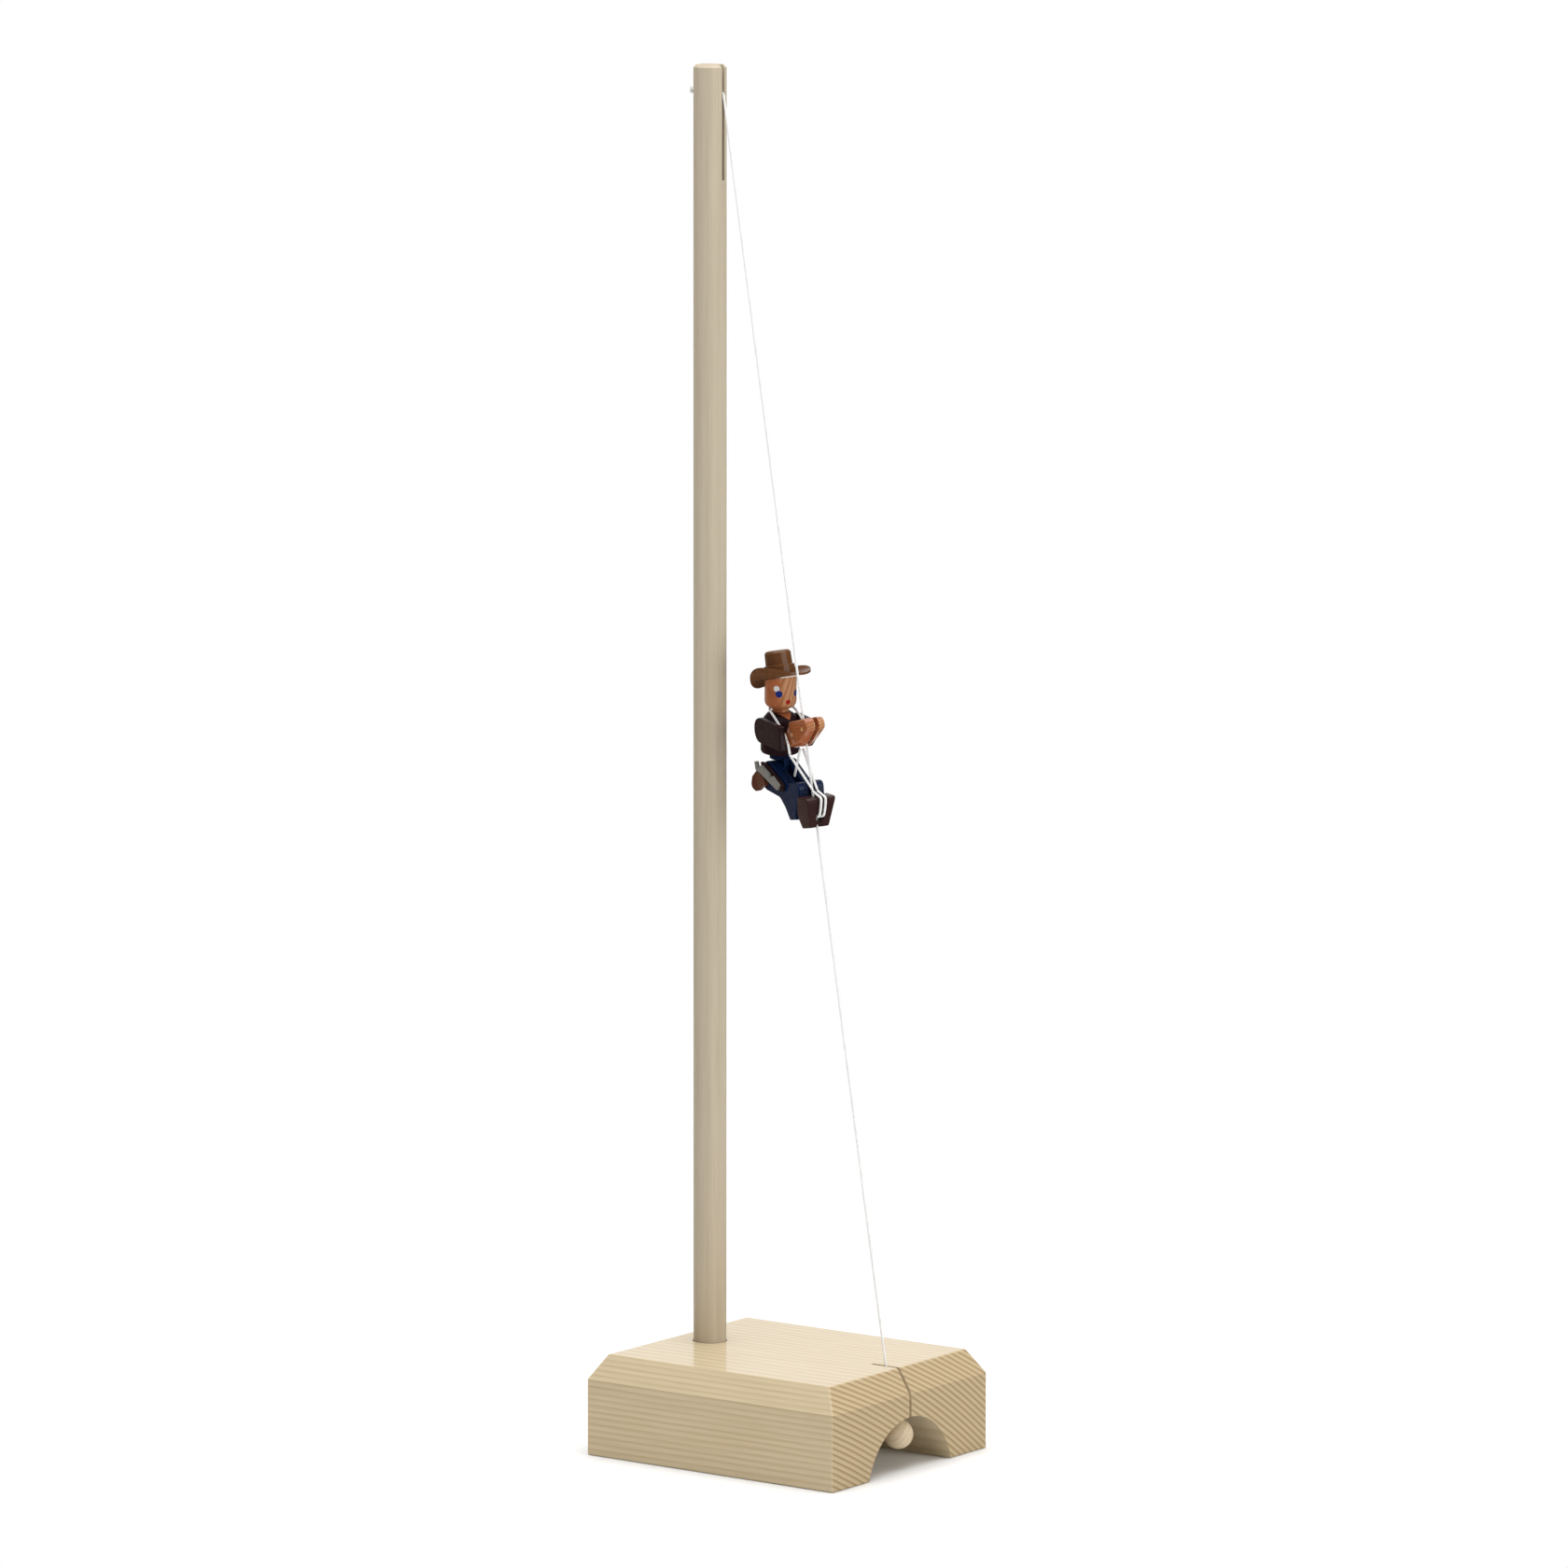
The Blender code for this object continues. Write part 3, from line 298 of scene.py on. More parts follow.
    def _wedge(self) -> bpy.types.NodeTree:
        """A V: a mask inside two straight edges that meet at a point, on one side of a middle."""
        tree, n, given, out = self._group("paint_wedge", {
            name: ("NodeSocketVector", None)
            for name in ("Vector", "Point", "First Edge", "Second Edge", "Middle", "Facing")
        }, ("Mask",))
        masks = []
        for start, way in (("Point", "First Edge"), ("Point", "Second Edge"), ("Middle", "Facing")):
            offset = n.vector("SUBTRACT", {0: given.outputs["Vector"], 1: given.outputs[start]})
            inside = n.vector("DOT_PRODUCT", {0: offset, 1: given.outputs[way]}, "Value")
            masks.append(n.ramp(inside, -WEDGE_EDGE, WEDGE_EDGE))
        both = n.math("MULTIPLY", masks[0], masks[1])
        n.tree.links.new(n.math("MULTIPLY", both, masks[2]), out.inputs["Mask"])
        return tree


@dataclass(frozen=True)
class PaintDab:
    """A dab of paint on a surface, placed in the figure's frame."""

    place: Place
    facing: Place
    radius: float
    colour: Colour

    def paint(self, n: Nodes, groups: EffectGroups, place: bpy.types.NodeSocket,
              colour: bpy.types.NodeSocket) -> bpy.types.NodeSocket:
        """Lays the dab over a colour.

        Args:
            n: the material's node helper.
            groups: the shared effects.
            place: socket with the place on the surface.
            colour: socket with the colour under the dab.

        Returns:
            The socket with the painted colour.
        """
        spot = n.add("ShaderNodeGroup", node_tree=groups.spot)
        n.tree.links.new(place, spot.inputs["Vector"])
        spot.inputs["Centre"].default_value = on_figure(self.place)
        spot.inputs["Facing"].default_value = (FIGURE.to_3x3() @ Vector(self.facing)).normalized()
        spot.inputs["Radius"].default_value = self.radius
        return n.mix(spot.outputs["Mask"], colour, self.colour)


@dataclass(frozen=True)
class PaintWedge:
    """A V of colour on a surface, placed in the figure's frame."""

    point: Place
    first_edge: Place
    second_edge: Place
    middle: Place
    facing: Place
    colour: Colour

    def paint(self, n: Nodes, groups: EffectGroups, place: bpy.types.NodeSocket,
              colour: bpy.types.NodeSocket) -> bpy.types.NodeSocket:
        """Lays the V over a colour.

        Args:
            n: the material's node helper.
            groups: the shared effects.
            place: socket with the place on the surface.
            colour: socket with the colour under the V.

        Returns:
            The socket with the painted colour.
        """
        wedge = n.add("ShaderNodeGroup", node_tree=groups.wedge)
        n.tree.links.new(place, wedge.inputs["Vector"])
        for name, spot in (("Point", self.point), ("Middle", self.middle)):
            wedge.inputs[name].default_value = on_figure(spot)
        for name, way in (("First Edge", self.first_edge), ("Second Edge", self.second_edge),
                          ("Facing", self.facing)):
            wedge.inputs[name].default_value = (FIGURE.to_3x3() @ Vector(way)).normalized()
        return n.mix(wedge.outputs["Mask"], colour, self.colour)


@dataclass(frozen=True)
class Finish:
    """What every finish has. The slot's name is set on the thread finishes but not used."""

    name: str
    roughness: float
    coat: float = 0.0
    coat_roughness: float = 0.08
    specular: float = 0.09
    slot: str = ""

    def _start(self) -> tuple[bpy.types.Material, Nodes, bpy.types.Node, bpy.types.NodeSocket]:
        """Makes the material with its constants set on the shader itself."""
        material = bpy.data.materials.new(self.name)
        material.use_nodes = True
        nodes = Nodes(material.node_tree)
        shader = material.node_tree.nodes["Principled BSDF"]
        shader.inputs["Coat Weight"].default_value = self.coat
        shader.inputs["Coat Roughness"].default_value = self.coat_roughness
        shader.inputs["Specular IOR Level"].default_value = self.specular
        place = nodes.add("ShaderNodeTexCoord").outputs["Object"]
        return material, nodes, shader, place

    def _roughen(self, n: Nodes, shader: bpy.types.Node, effect: bpy.types.NodeSocket, smoother: float,
                 rougher: float) -> None:
        """Lets an effect vary the roughness.

        Args:
            n: the material's node helper.
            shader: the material's shader.
            effect: socket with the effect's value.
            smoother: how far below the finish's own roughness it goes.
            rougher: how far above it goes.
        """
        rough = n.ramp(effect, *ROUGHNESS_SHOWS, self.roughness - smoother, self.roughness + rougher)
        n.tree.links.new(rough, shader.inputs["Roughness"])

    @staticmethod
    def _raise(n: Nodes, shader: bpy.types.Node, height: bpy.types.NodeSocket, distance: float,
               strength: float) -> None:
        """Gives the surface a relief.

        Args:
            n: the material's node helper.
            shader: the material's shader.
            height: socket with the relief.
            distance: how high the relief stands at most, in metres.
            strength: how much of it shows.
        """
        bump = n.add("ShaderNodeBump", {"Strength": strength, "Distance": distance, "Height": height})
        n.tree.links.new(bump.outputs[0], shader.inputs["Normal"])


@dataclass(frozen=True, kw_only=True)
class WoodFinish(Finish):
    """Solid wood whose growth rings run through the piece.

    Faces that look along the piece's own X turn paler: end grain on the block, painted sheen on the
    head, and end grain with painted sheen on the hands.
    """

    light: Colour
    dark: Colour
    ring_spacing: float
    ring_strength: float
    pith: Place = (0.0, 0.0, 0.0)
    way: GrainWay = GrainWay.ALONG_BLOCK
    waviness: float = 0.002
    fibre_strength: float = 0.25
    fibre_scale: float = 900.0
    bump: float = 0.00003
    # How far the faces along X turn to the paler colours below: end grain on the block, painted sheen on
    # the head and hands.
    end_grain_and_sheen: float = 0.0
    end_grain_and_sheen_light: Colour = (0.55, 0.435, 0.265)
    end_grain_and_sheen_dark: Colour = (0.33, 0.215, 0.105)
    dabs: tuple[PaintDab | PaintWedge, ...] = ()

    def build(self, groups: EffectGroups) -> bpy.types.Material:
        """Makes the wood material, with any painted dabs over it."""
        material, n, shader, place = self._start()
        centred = n.vector("SUBTRACT", {0: place, 1: self.pith})
        turned = n.add("ShaderNodeMapping", {"Vector": centred, "Rotation": self.way.value},
                       vector_type="TEXTURE")
        wood = n.add("ShaderNodeGroup", node_tree=groups.wood)
        for key, value in (("Ring Spacing", self.ring_spacing), ("Waviness", self.waviness),
                           ("Fibre Scale", self.fibre_scale)):
            wood.inputs[key].default_value = value
        n.tree.links.new(turned.outputs[0], wood.inputs["Vector"])
        rings = n.math("MULTIPLY", wood.outputs["Rings"], self.ring_strength)
        fibres = n.math("MULTIPLY", n.ramp(wood.outputs["Fibres"], *FIBRE_SHOWS), self.fibre_strength)
        mask = n.math("MINIMUM", n.math("ADD", rings, fibres), 1.0)
        colour = n.mix(mask, self.light, self.dark)
        # Faces that look along X turn paler: end grain on the block; painted sheen on the forward faces
        # of the head and hands, over end grain on the hands.
        if self.end_grain_and_sheen:
            across = n.add("ShaderNodeSeparateXYZ", {0: n.add("ShaderNodeTexCoord").outputs["Normal"]})
            end_grain_and_sheen_mask = n.ramp(n.math("ABSOLUTE", across.outputs["X"]), *END_GRAIN_AND_SHEEN_SHOWS, 0.0, self.end_grain_and_sheen)
            colour = n.mix(end_grain_and_sheen_mask, colour, n.mix(wood.outputs["Rings"], self.end_grain_and_sheen_light, self.end_grain_and_sheen_dark))
        for dab in self.dabs:
            colour = dab.paint(n, groups, place, colour)
        n.tree.links.new(colour, shader.inputs["Base Color"])
        self._roughen(n, shader, wood.outputs["Fibres"], smoother=0.04, rougher=0.06)
        self._raise(n, shader, mask, self.bump, strength=0.5)
        return material


@dataclass(frozen=True, kw_only=True)
class LacquerFinish(Finish):
    """An opaque or tinted lacquer over wood, with a little of the grain left in its surface."""

    colour: Colour
    thin: Colour
    grain_show: float = 0.3
    bump: float = 0.000007
    dabs: tuple[PaintDab | PaintWedge, ...] = ()

    def build(self, groups: EffectGroups) -> bpy.types.Material:
        """Makes the lacquer material, with any painted dabs over it."""
        material, n, shader, place = self._start()
        turned = n.add("ShaderNodeMapping", {"Vector": place, "Rotation": GrainWay.ALONG_FIGURE.value},
                       vector_type="TEXTURE")
        wood = n.add("ShaderNodeGroup", node_tree=groups.wood)
        n.tree.links.new(turned.outputs[0], wood.inputs["Vector"])
        coat = n.add("ShaderNodeGroup", node_tree=groups.lacquer)
        n.tree.links.new(place, coat.inputs["Vector"])
        shows = n.math("MULTIPLY", n.ramp(wood.outputs["Fibres"], *GRAIN_SHOWS), self.grain_show)
        pools = n.math("MULTIPLY", n.ramp(coat.outputs["Pooling"], *POOL_SHOWS), POOL_AMOUNT)
        colour = n.mix(n.math("ADD", shows, pools), self.colour, self.thin)
        for dab in self.dabs:
            colour = dab.paint(n, groups, place, colour)
        n.tree.links.new(colour, shader.inputs["Base Color"])
        self._roughen(n, shader, coat.outputs["Pooling"], smoother=0.05, rougher=0.07)
        height = n.math("ADD", n.math("MULTIPLY", wood.outputs["Fibres"], GRAIN_HEIGHT),
                        n.math("MULTIPLY", coat.outputs["Nibs"], NIB_HEIGHT))
        self._raise(n, shader, height, self.bump, strength=0.4)
        return material


@dataclass(frozen=True)
class ThreadFinish(Finish):
    """Matt white thread with a little soiling and loose fibre."""

    colour: Colour = (0.92, 0.92, 0.91)
    soiled: Colour = (0.74, 0.73, 0.69)
    soiling: float = 0.3
    sheen: float = 0.25
    fluff_scale: float = 4200.0
    bump: float = 0.00003

    def build(self, groups: EffectGroups) -> bpy.types.Material:
        """Makes the thread material."""
        material, n, shader, place = self._start()
        shader.inputs["Sheen Weight"].default_value = self.sheen
        coat = n.add("ShaderNodeGroup", node_tree=groups.lacquer)
        n.tree.links.new(place, coat.inputs["Vector"])
        coat.inputs["Nib Scale"].default_value = self.fluff_scale
        soil = n.math("MULTIPLY", n.ramp(coat.outputs["Pooling"], *SOIL_SHOWS), self.soiling)
        n.tree.links.new(n.mix(soil, self.colour, self.soiled), shader.inputs["Base Color"])
        self._roughen(n, shader, coat.outputs["Pooling"], smoother=0.05, rougher=0.1)
        self._raise(n, shader, coat.outputs["Nibs"], self.bump, strength=0.5)
        return material


SKIN: Colour = (0.40, 0.12, 0.042)
# Paler skin for the forward faces of the hands and head: painted sheen, over end grain on the hands.
SKIN_END_GRAIN_AND_SHEEN_LIGHT: Colour = (0.62, 0.36, 0.19)
SKIN_END_GRAIN_AND_SHEEN_DARK: Colour = (0.42, 0.17, 0.070)
SHIRT: Colour = (0.020, 0.008, 0.010)
SHIRT_THIN: Colour = (0.034, 0.014, 0.017)
EYE_WHITE: Colour = (0.72, 0.72, 0.70)
EYE_WHITE_RADIUS = 0.00112
EYE_BLUE: Colour = (0.008, 0.026, 0.19)
EYE_BLUE_RADIUS = 0.00128
MOUTH_RED: Colour = (0.36, 0.008, 0.006)
MOUTH_RADIUS = 0.00092
NEAR_EYE: Place = (0.74, -0.65, -0.2)
FAR_EYE: Place = (0.74, 0.65, -0.2)
FACE_DABS = (
    PaintDab((-0.0101, -0.0040, 0.0313), NEAR_EYE, EYE_WHITE_RADIUS, EYE_WHITE),
    PaintDab((-0.0112, 0.0052, 0.0311), FAR_EYE, EYE_WHITE_RADIUS, EYE_WHITE),
    PaintDab((-0.0102, -0.0033, 0.0293), NEAR_EYE, EYE_BLUE_RADIUS, EYE_BLUE),
    PaintDab((-0.0107, 0.0038, 0.0290), FAR_EYE, EYE_BLUE_RADIUS, EYE_BLUE),
    PaintDab((-0.0101, 0.0, 0.0260), (1.0, 0.0, -0.2), MOUTH_RADIUS, MOUTH_RED),
)
COLLAR = PaintWedge(point=(-0.0126, 0.0006, 0.01935), first_edge=(0.0, 2.55, 2.78),
                    second_edge=(0.0, -2.95, 2.35), middle=(-0.0172, 0.0, 0.0215),
                    facing=(1.0, 0.0, 0.0), colour=SKIN)

FINISHES: dict[str, Finish] = {
    "block": WoodFinish("pine_with_gloss_lacquer", roughness=0.34, coat=0.55, coat_roughness=0.06,
                        pith=(0.0, -0.196, -0.322), ring_spacing=0.0021, waviness=0.0012,
                        ring_strength=0.35, end_grain_and_sheen=0.9,
                        light=(0.68, 0.56, 0.37), dark=(0.47, 0.34, 0.18)),
    "pole": WoodFinish("bare_beech_dowel", roughness=0.50, light=(0.56, 0.485, 0.365),
                       dark=(0.43, 0.35, 0.25), pith=(0.02, 0.03, 0.0), way=GrainWay.UPRIGHT,
                       ring_spacing=0.004, ring_strength=0.2, fibre_strength=0.28),
    "ball": WoodFinish("bare_ball_wood", roughness=0.42, light=(0.66, 0.54, 0.38),
                       dark=(0.50, 0.37, 0.22), pith=(0.0495, 0.006, 0.006), ring_spacing=0.0016,
                       ring_strength=0.4),
    "pin": WoodFinish("varnished_pin_ends", roughness=0.36, coat=0.4, light=(0.62, 0.33, 0.15),
                      dark=(0.42, 0.19, 0.07), ring_spacing=0.0006, ring_strength=0.4),
    # The paler forward faces of the hands and head are painted sheen; on the hands they are also end
    # grain.
    "hand": WoodFinish("varnished_hand_boards", roughness=0.30, coat=1.0, light=SKIN,
                       dark=(0.23, 0.060, 0.020), way=GrainWay.ALONG_FIGURE, pith=(0.0, 0.02, 0.22),
                       ring_spacing=0.0011, waviness=0.0012, ring_strength=0.45, end_grain_and_sheen=0.7,
                       end_grain_and_sheen_light=SKIN_END_GRAIN_AND_SHEEN_LIGHT, end_grain_and_sheen_dark=SKIN_END_GRAIN_AND_SHEEN_DARK),
    "head": WoodFinish("varnished_head", roughness=0.30, coat=1.0, light=(0.43, 0.135, 0.047),
                       dark=(0.26, 0.070, 0.024), way=GrainWay.UP_FIGURE, pith=(0.0, 0.02, 0.22),
                       ring_spacing=0.0016, waviness=0.0015, ring_strength=0.35, end_grain_and_sheen=0.7,
                       end_grain_and_sheen_light=SKIN_END_GRAIN_AND_SHEEN_LIGHT, end_grain_and_sheen_dark=SKIN_END_GRAIN_AND_SHEEN_DARK, dabs=FACE_DABS),
    "hat": LacquerFinish("brown_hat_lacquer", roughness=0.28, coat=0.2, colour=(0.125, 0.050, 0.018),
                         thin=(0.19, 0.082, 0.034), grain_show=0.6),
    "shirt": LacquerFinish("aubergine_shirt_lacquer", roughness=0.30, coat=0.06,
                           colour=SHIRT, thin=SHIRT_THIN),
    "torso": LacquerFinish("aubergine_torso_lacquer", roughness=0.30, coat=0.06,
                           colour=SHIRT, thin=SHIRT_THIN, dabs=(COLLAR,)),
    "trousers": LacquerFinish("navy_trouser_lacquer", roughness=0.24, coat=0.08,
                              colour=(0.004, 0.013, 0.046), thin=(0.007, 0.022, 0.085)),
    "boots": LacquerFinish("red_brown_boot_lacquer", roughness=0.24, coat=0.08,
                           colour=(0.038, 0.017, 0.016), thin=(0.065, 0.026, 0.022)),
    "holster": LacquerFinish("dark_holster_paint", roughness=0.42, colour=(0.028, 0.012, 0.012),
                             thin=(0.045, 0.020, 0.017)),
    "grip": LacquerFinish("red_brown_grip_paint", roughness=0.36, coat=0.3, colour=(0.10, 0.030, 0.015),
                          thin=(0.15, 0.050, 0.027)),
    "metal": LacquerFinish("silver_grey_paint", roughness=0.42, colour=(0.22, 0.21, 0.19),
                           thin=(0.32, 0.31, 0.285)),
    "string": ThreadFinish("white_string_thread", roughness=0.80, slot="white_cord"),
    "elastic": ThreadFinish("white_elastic_thread", roughness=0.72, slot="white_elastic"),
}


@dataclass
class Workshop:
    """The shared materials and the frame that every sub-assembly is dressed in."""

    frame: dict
    groups: EffectGroups
    materials: dict[str, bpy.types.Material] = field(default_factory=dict)

    def material(self, key: str) -> bpy.types.Material:
        """Gives a finish's material, made once."""
        if key not in self.materials:
            self.materials[key] = FINISHES[key].build(self.groups)
        return self.materials[key]

    def dress(self, node: str, key: str) -> None:
        """Gives a CAD node, kept as it is, one finish."""
        obj = self.frame["nodes"][node]
        obj.data.materials.clear()
        obj.data.materials.append(self.material(key))
        LOG.info("dressed %s as %s", node, key)


def smooth_path(points: list[Vector], steps: int) -> list[Vector]:
    """Samples a Catmull-Rom curve through the points.

    Args:
        points: the route's own points.
        steps: samples for each stretch between two of them.

    Returns:
        The sampled points.
    """
    padded = [2 * points[0] - points[1], *points, 2 * points[-1] - points[-2]]
    route = [points[0]]
    for index in range(1, len(padded) - 2):
        a, b, c, d = padded[index - 1:index + 3]
        for step in range(1, steps + 1):
            t = step / steps
            route.append(0.5 * (2 * b + (c - a) * t + (2 * a - 5 * b + 4 * c - d) * t ** 2
                                + (3 * b - a - 3 * c + d) * t ** 3))
    return route


@dataclass
class CordMaker:
    """Twists strands along a path with Geometry Nodes."""

    workshop: Workshop
    sides: int = 6
    tree: bpy.types.NodeTree | None = None
    sockets: dict[str, str] = field(default_factory=dict)

    def _build_tree(self) -> None:
        """Builds the tree: copies of the path, wound round it and given thickness."""
        tree = bpy.data.node_groups.new("twisted_cord", "GeometryNodeTree")
        face = tree.interface
        face.new_socket("Path", in_out="INPUT", socket_type="NodeSocketGeometry")
        for name, kind in (("Strands", "NodeSocketInt"), ("Lay Radius", "NodeSocketFloat"),
                           ("Strand Radius", "NodeSocketFloat"), ("Pitch", "NodeSocketFloat"),
                           ("Spacing", "NodeSocketFloat"), ("Sides", "NodeSocketInt"),
                           ("Material", "NodeSocketMaterial")):
            self.sockets[name] = face.new_socket(name, in_out="INPUT", socket_type=kind).identifier
        face.new_socket("Cord", in_out="OUTPUT", socket_type="NodeSocketGeometry")
        n = Nodes(tree)
        given, out = n.add("NodeGroupInput"), n.add("NodeGroupOutput")
        even = n.add("GeometryNodeResampleCurve", {"Curve": given.outputs["Path"],
                                                   "Length": given.outputs["Spacing"]}, mode="LENGTH")
        copies = n.add("GeometryNodeDuplicateElements", {"Geometry": even.outputs[0],
                                                         "Amount": given.outputs["Strands"]},
                       domain="SPLINE")
        along = n.add("GeometryNodeSplineParameter").outputs["Length"]
        share = n.math("DIVIDE", copies.outputs["Duplicate Index"], given.outputs["Strands"])
        turns = n.math("ADD", share, n.math("DIVIDE", along, given.outputs["Pitch"]))
        angle = n.math("MULTIPLY", turns, math.tau)
        normal = n.add("GeometryNodeInputNormal").outputs[0]
        tangent = n.add("GeometryNodeInputTangent").outputs[0]
        side = n.vector("CROSS_PRODUCT", {0: tangent, 1: normal})
        first = n.add("ShaderNodeVectorMath", {0: normal, "Scale": n.math("COSINE", angle)},
                      operation="SCALE").outputs[0]
        second = n.add("ShaderNodeVectorMath", {0: side, "Scale": n.math("SINE", angle)},
                       operation="SCALE").outputs[0]
        reach = n.add("ShaderNodeVectorMath", {0: n.vector("ADD", {0: first, 1: second}),
                                               "Scale": given.outputs["Lay Radius"]},
                      operation="SCALE").outputs[0]
        wound = n.add("GeometryNodeSetPosition", {"Geometry": copies.outputs[0], "Offset": reach})
        ring = n.add("GeometryNodeCurvePrimitiveCircle", {"Resolution": given.outputs["Sides"],
                                                          "Radius": given.outputs["Strand Radius"]})
        thick = n.add("GeometryNodeCurveToMesh", {"Curve": wound.outputs[0],
                                                  "Profile Curve": ring.outputs[0], "Fill Caps": True})
        real = n.add("GeometryNodeRealizeInstances", {0: thick.outputs[0]})
        painted = n.add("GeometryNodeSetMaterial", {"Geometry": real.outputs[0],
                                                    "Material": given.outputs["Material"]})
        tree.links.new(painted.outputs[0], out.inputs["Cord"])
        self.tree = tree

    def make(self, name: str, points: list[Vector], diameter: float, finish: str, body: str,
             node: str, strands: int = 4, pitch: float = 0.0032, onto: str = "") -> bpy.types.Object:
        """Makes one twisted cord that stands for a CAD node.

        Args:
            name: the piece's name.
            points: the path, in metres in the object's frame.
            diameter: over the strands.
            finish: key of the thread's finish.
            body: the CAD body that it rides on.
            node: the CAD node that it replaces.
            strands: how many strands are laid together.
            pitch: length of one turn.
            onto: a second body, where the cord crosses a joint; a cord given one is left in place on no
                body.

        Returns:
            The finished piece.
        """
        if self.tree is None:
            self._build_tree()
        curve = bpy.data.curves.new(name + "_path", "CURVE")
        curve.dimensions = "3D"
        spline = curve.splines.new("POLY")
        spline.points.add(len(points) - 1)
        for target, point in zip(spline.points, points):
            target.co = (*point, 1.0)
        path = bpy.data.objects.new(name + "_path", curve)
        bpy.context.scene.collection.objects.link(path)
        sine = math.sin(math.pi / strands)
        strand = diameter / 2 * sine / (1 + sine)
        modifier = path.modifiers.new("Cord", "NODES")
        modifier.node_group = self.tree
        for key, value in (("Strands", strands), ("Lay Radius", diameter / 2 - strand),
                           ("Strand Radius", strand * STRAND_OVERLAP), ("Pitch", pitch),
                           ("Spacing", pitch / POINTS_PER_TURN),
                           ("Sides", self.sides), ("Material", self.workshop.material(finish))):
            modifier[self.sockets[key]] = value
        bpy.context.view_layer.update()
        made = path.evaluated_get(bpy.context.evaluated_depsgraph_get())
        mesh = bpy.data.meshes.new_from_object(made)
        mesh.shade_smooth()
        bpy.data.objects.remove(path, do_unlink=True)
        piece = bpy.data.objects.new(name, mesh)
        bpy.context.scene.collection.objects.link(piece)
        if onto:
            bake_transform(piece)
        else:
            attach(piece, body)
        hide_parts(node)
        LOG.info("made %s with %d faces", name, len(mesh.polygons))
        return piece


@dataclass
class Stand:
    """The block, the pole and the pull ball."""

    workshop: Workshop

    def build(self) -> None:
        """Dresses their CAD nodes."""
        self.workshop.dress("base_block", "block")
        self.workshop.dress("pole", "pole")
        self.workshop.dress("pull_ball", "ball")


@dataclass
class Strings:
    """The climbing string, its knotted end behind the pole, and the pull string."""

    cords: CordMaker
    diameter: float = 0.0009
    top: Place = (-0.0290, 0.0, 0.4928)
    foot: Place = (0.0440, 0.0, 0.0370)
    end_depth: float = 0.006
    gap: float = 0.0003
    ball: Place = (0.0495, 0.0, 0.0127)
    ball_radius: float = 0.0055
    pull_inset: float = 0.001
    pull_travel: float = 0.0043
    pole_back: float = 0.035
    pole_radius: float = 0.006
    anchor_rise: float = 0.0015
    bend_share: float = 0.9
    bend_steps: int = 8
    knot_behind_pole: float = 0.002
    knot_size: float = 0.0011
    knot_steps: int = 36
    trefoil_reach: int = 3

    def _knot(self, centre: Vector, way: Vector) -> list[Vector]:
        """A small trefoil that reads as an overhand knot pulled tight.

        Args:
            centre: the knot's middle.
            way: the direction that the cord runs into it.

        Returns:
            The knot's path.
        """
        turn = way.to_track_quat("Z", "Y")
        points = []
        for step in range(self.knot_steps + 1):
            t = math.tau * step / self.knot_steps
            flat = Vector((math.sin(t) + 2 * math.sin(2 * t), math.cos(t) - 2 * math.cos(2 * t),
                           -math.sin(3 * t)))
            points.append(centre + turn @ (flat * self.knot_size / self.trefoil_reach))
        return points

    def build(self) -> None:
        """Makes the three cords."""
        top, foot, ball = Vector(self.top), Vector(self.foot), Vector(self.ball)
        way = (top - foot).normalized()
        low = foot - way * self.end_depth
        self.cords.make("twisted_climbing_string", [low, top], self.diameter, "string", "string",
                        "climbing_string")
        height = top.z + self.anchor_rise
        knot = Vector((-self.pole_back - self.pole_radius - self.knot_behind_pole, 0, height))
        lead = smooth_path([top + way * self.gap,
                            top + Vector((-self.pole_radius / 2, 0, self.anchor_rise * self.bend_share)),
                            Vector((-self.pole_back - self.pole_radius / 2, 0, height)), knot],
                           self.bend_steps)
        self.cords.make("knotted_string_end", lead + self._knot(knot, Vector((1, 0, 0))),
                        self.diameter, "string", "stand", "string_anchor")
        pull_top = low - way * self.gap
        pull = (ball - pull_top).normalized()
        end = ball + pull * (self.ball_radius - self.pull_inset)
        self.cords.make("twisted_pull_string", [pull_top - pull * self.pull_travel, end], self.diameter,
                        "string", "ball", "pull_string")


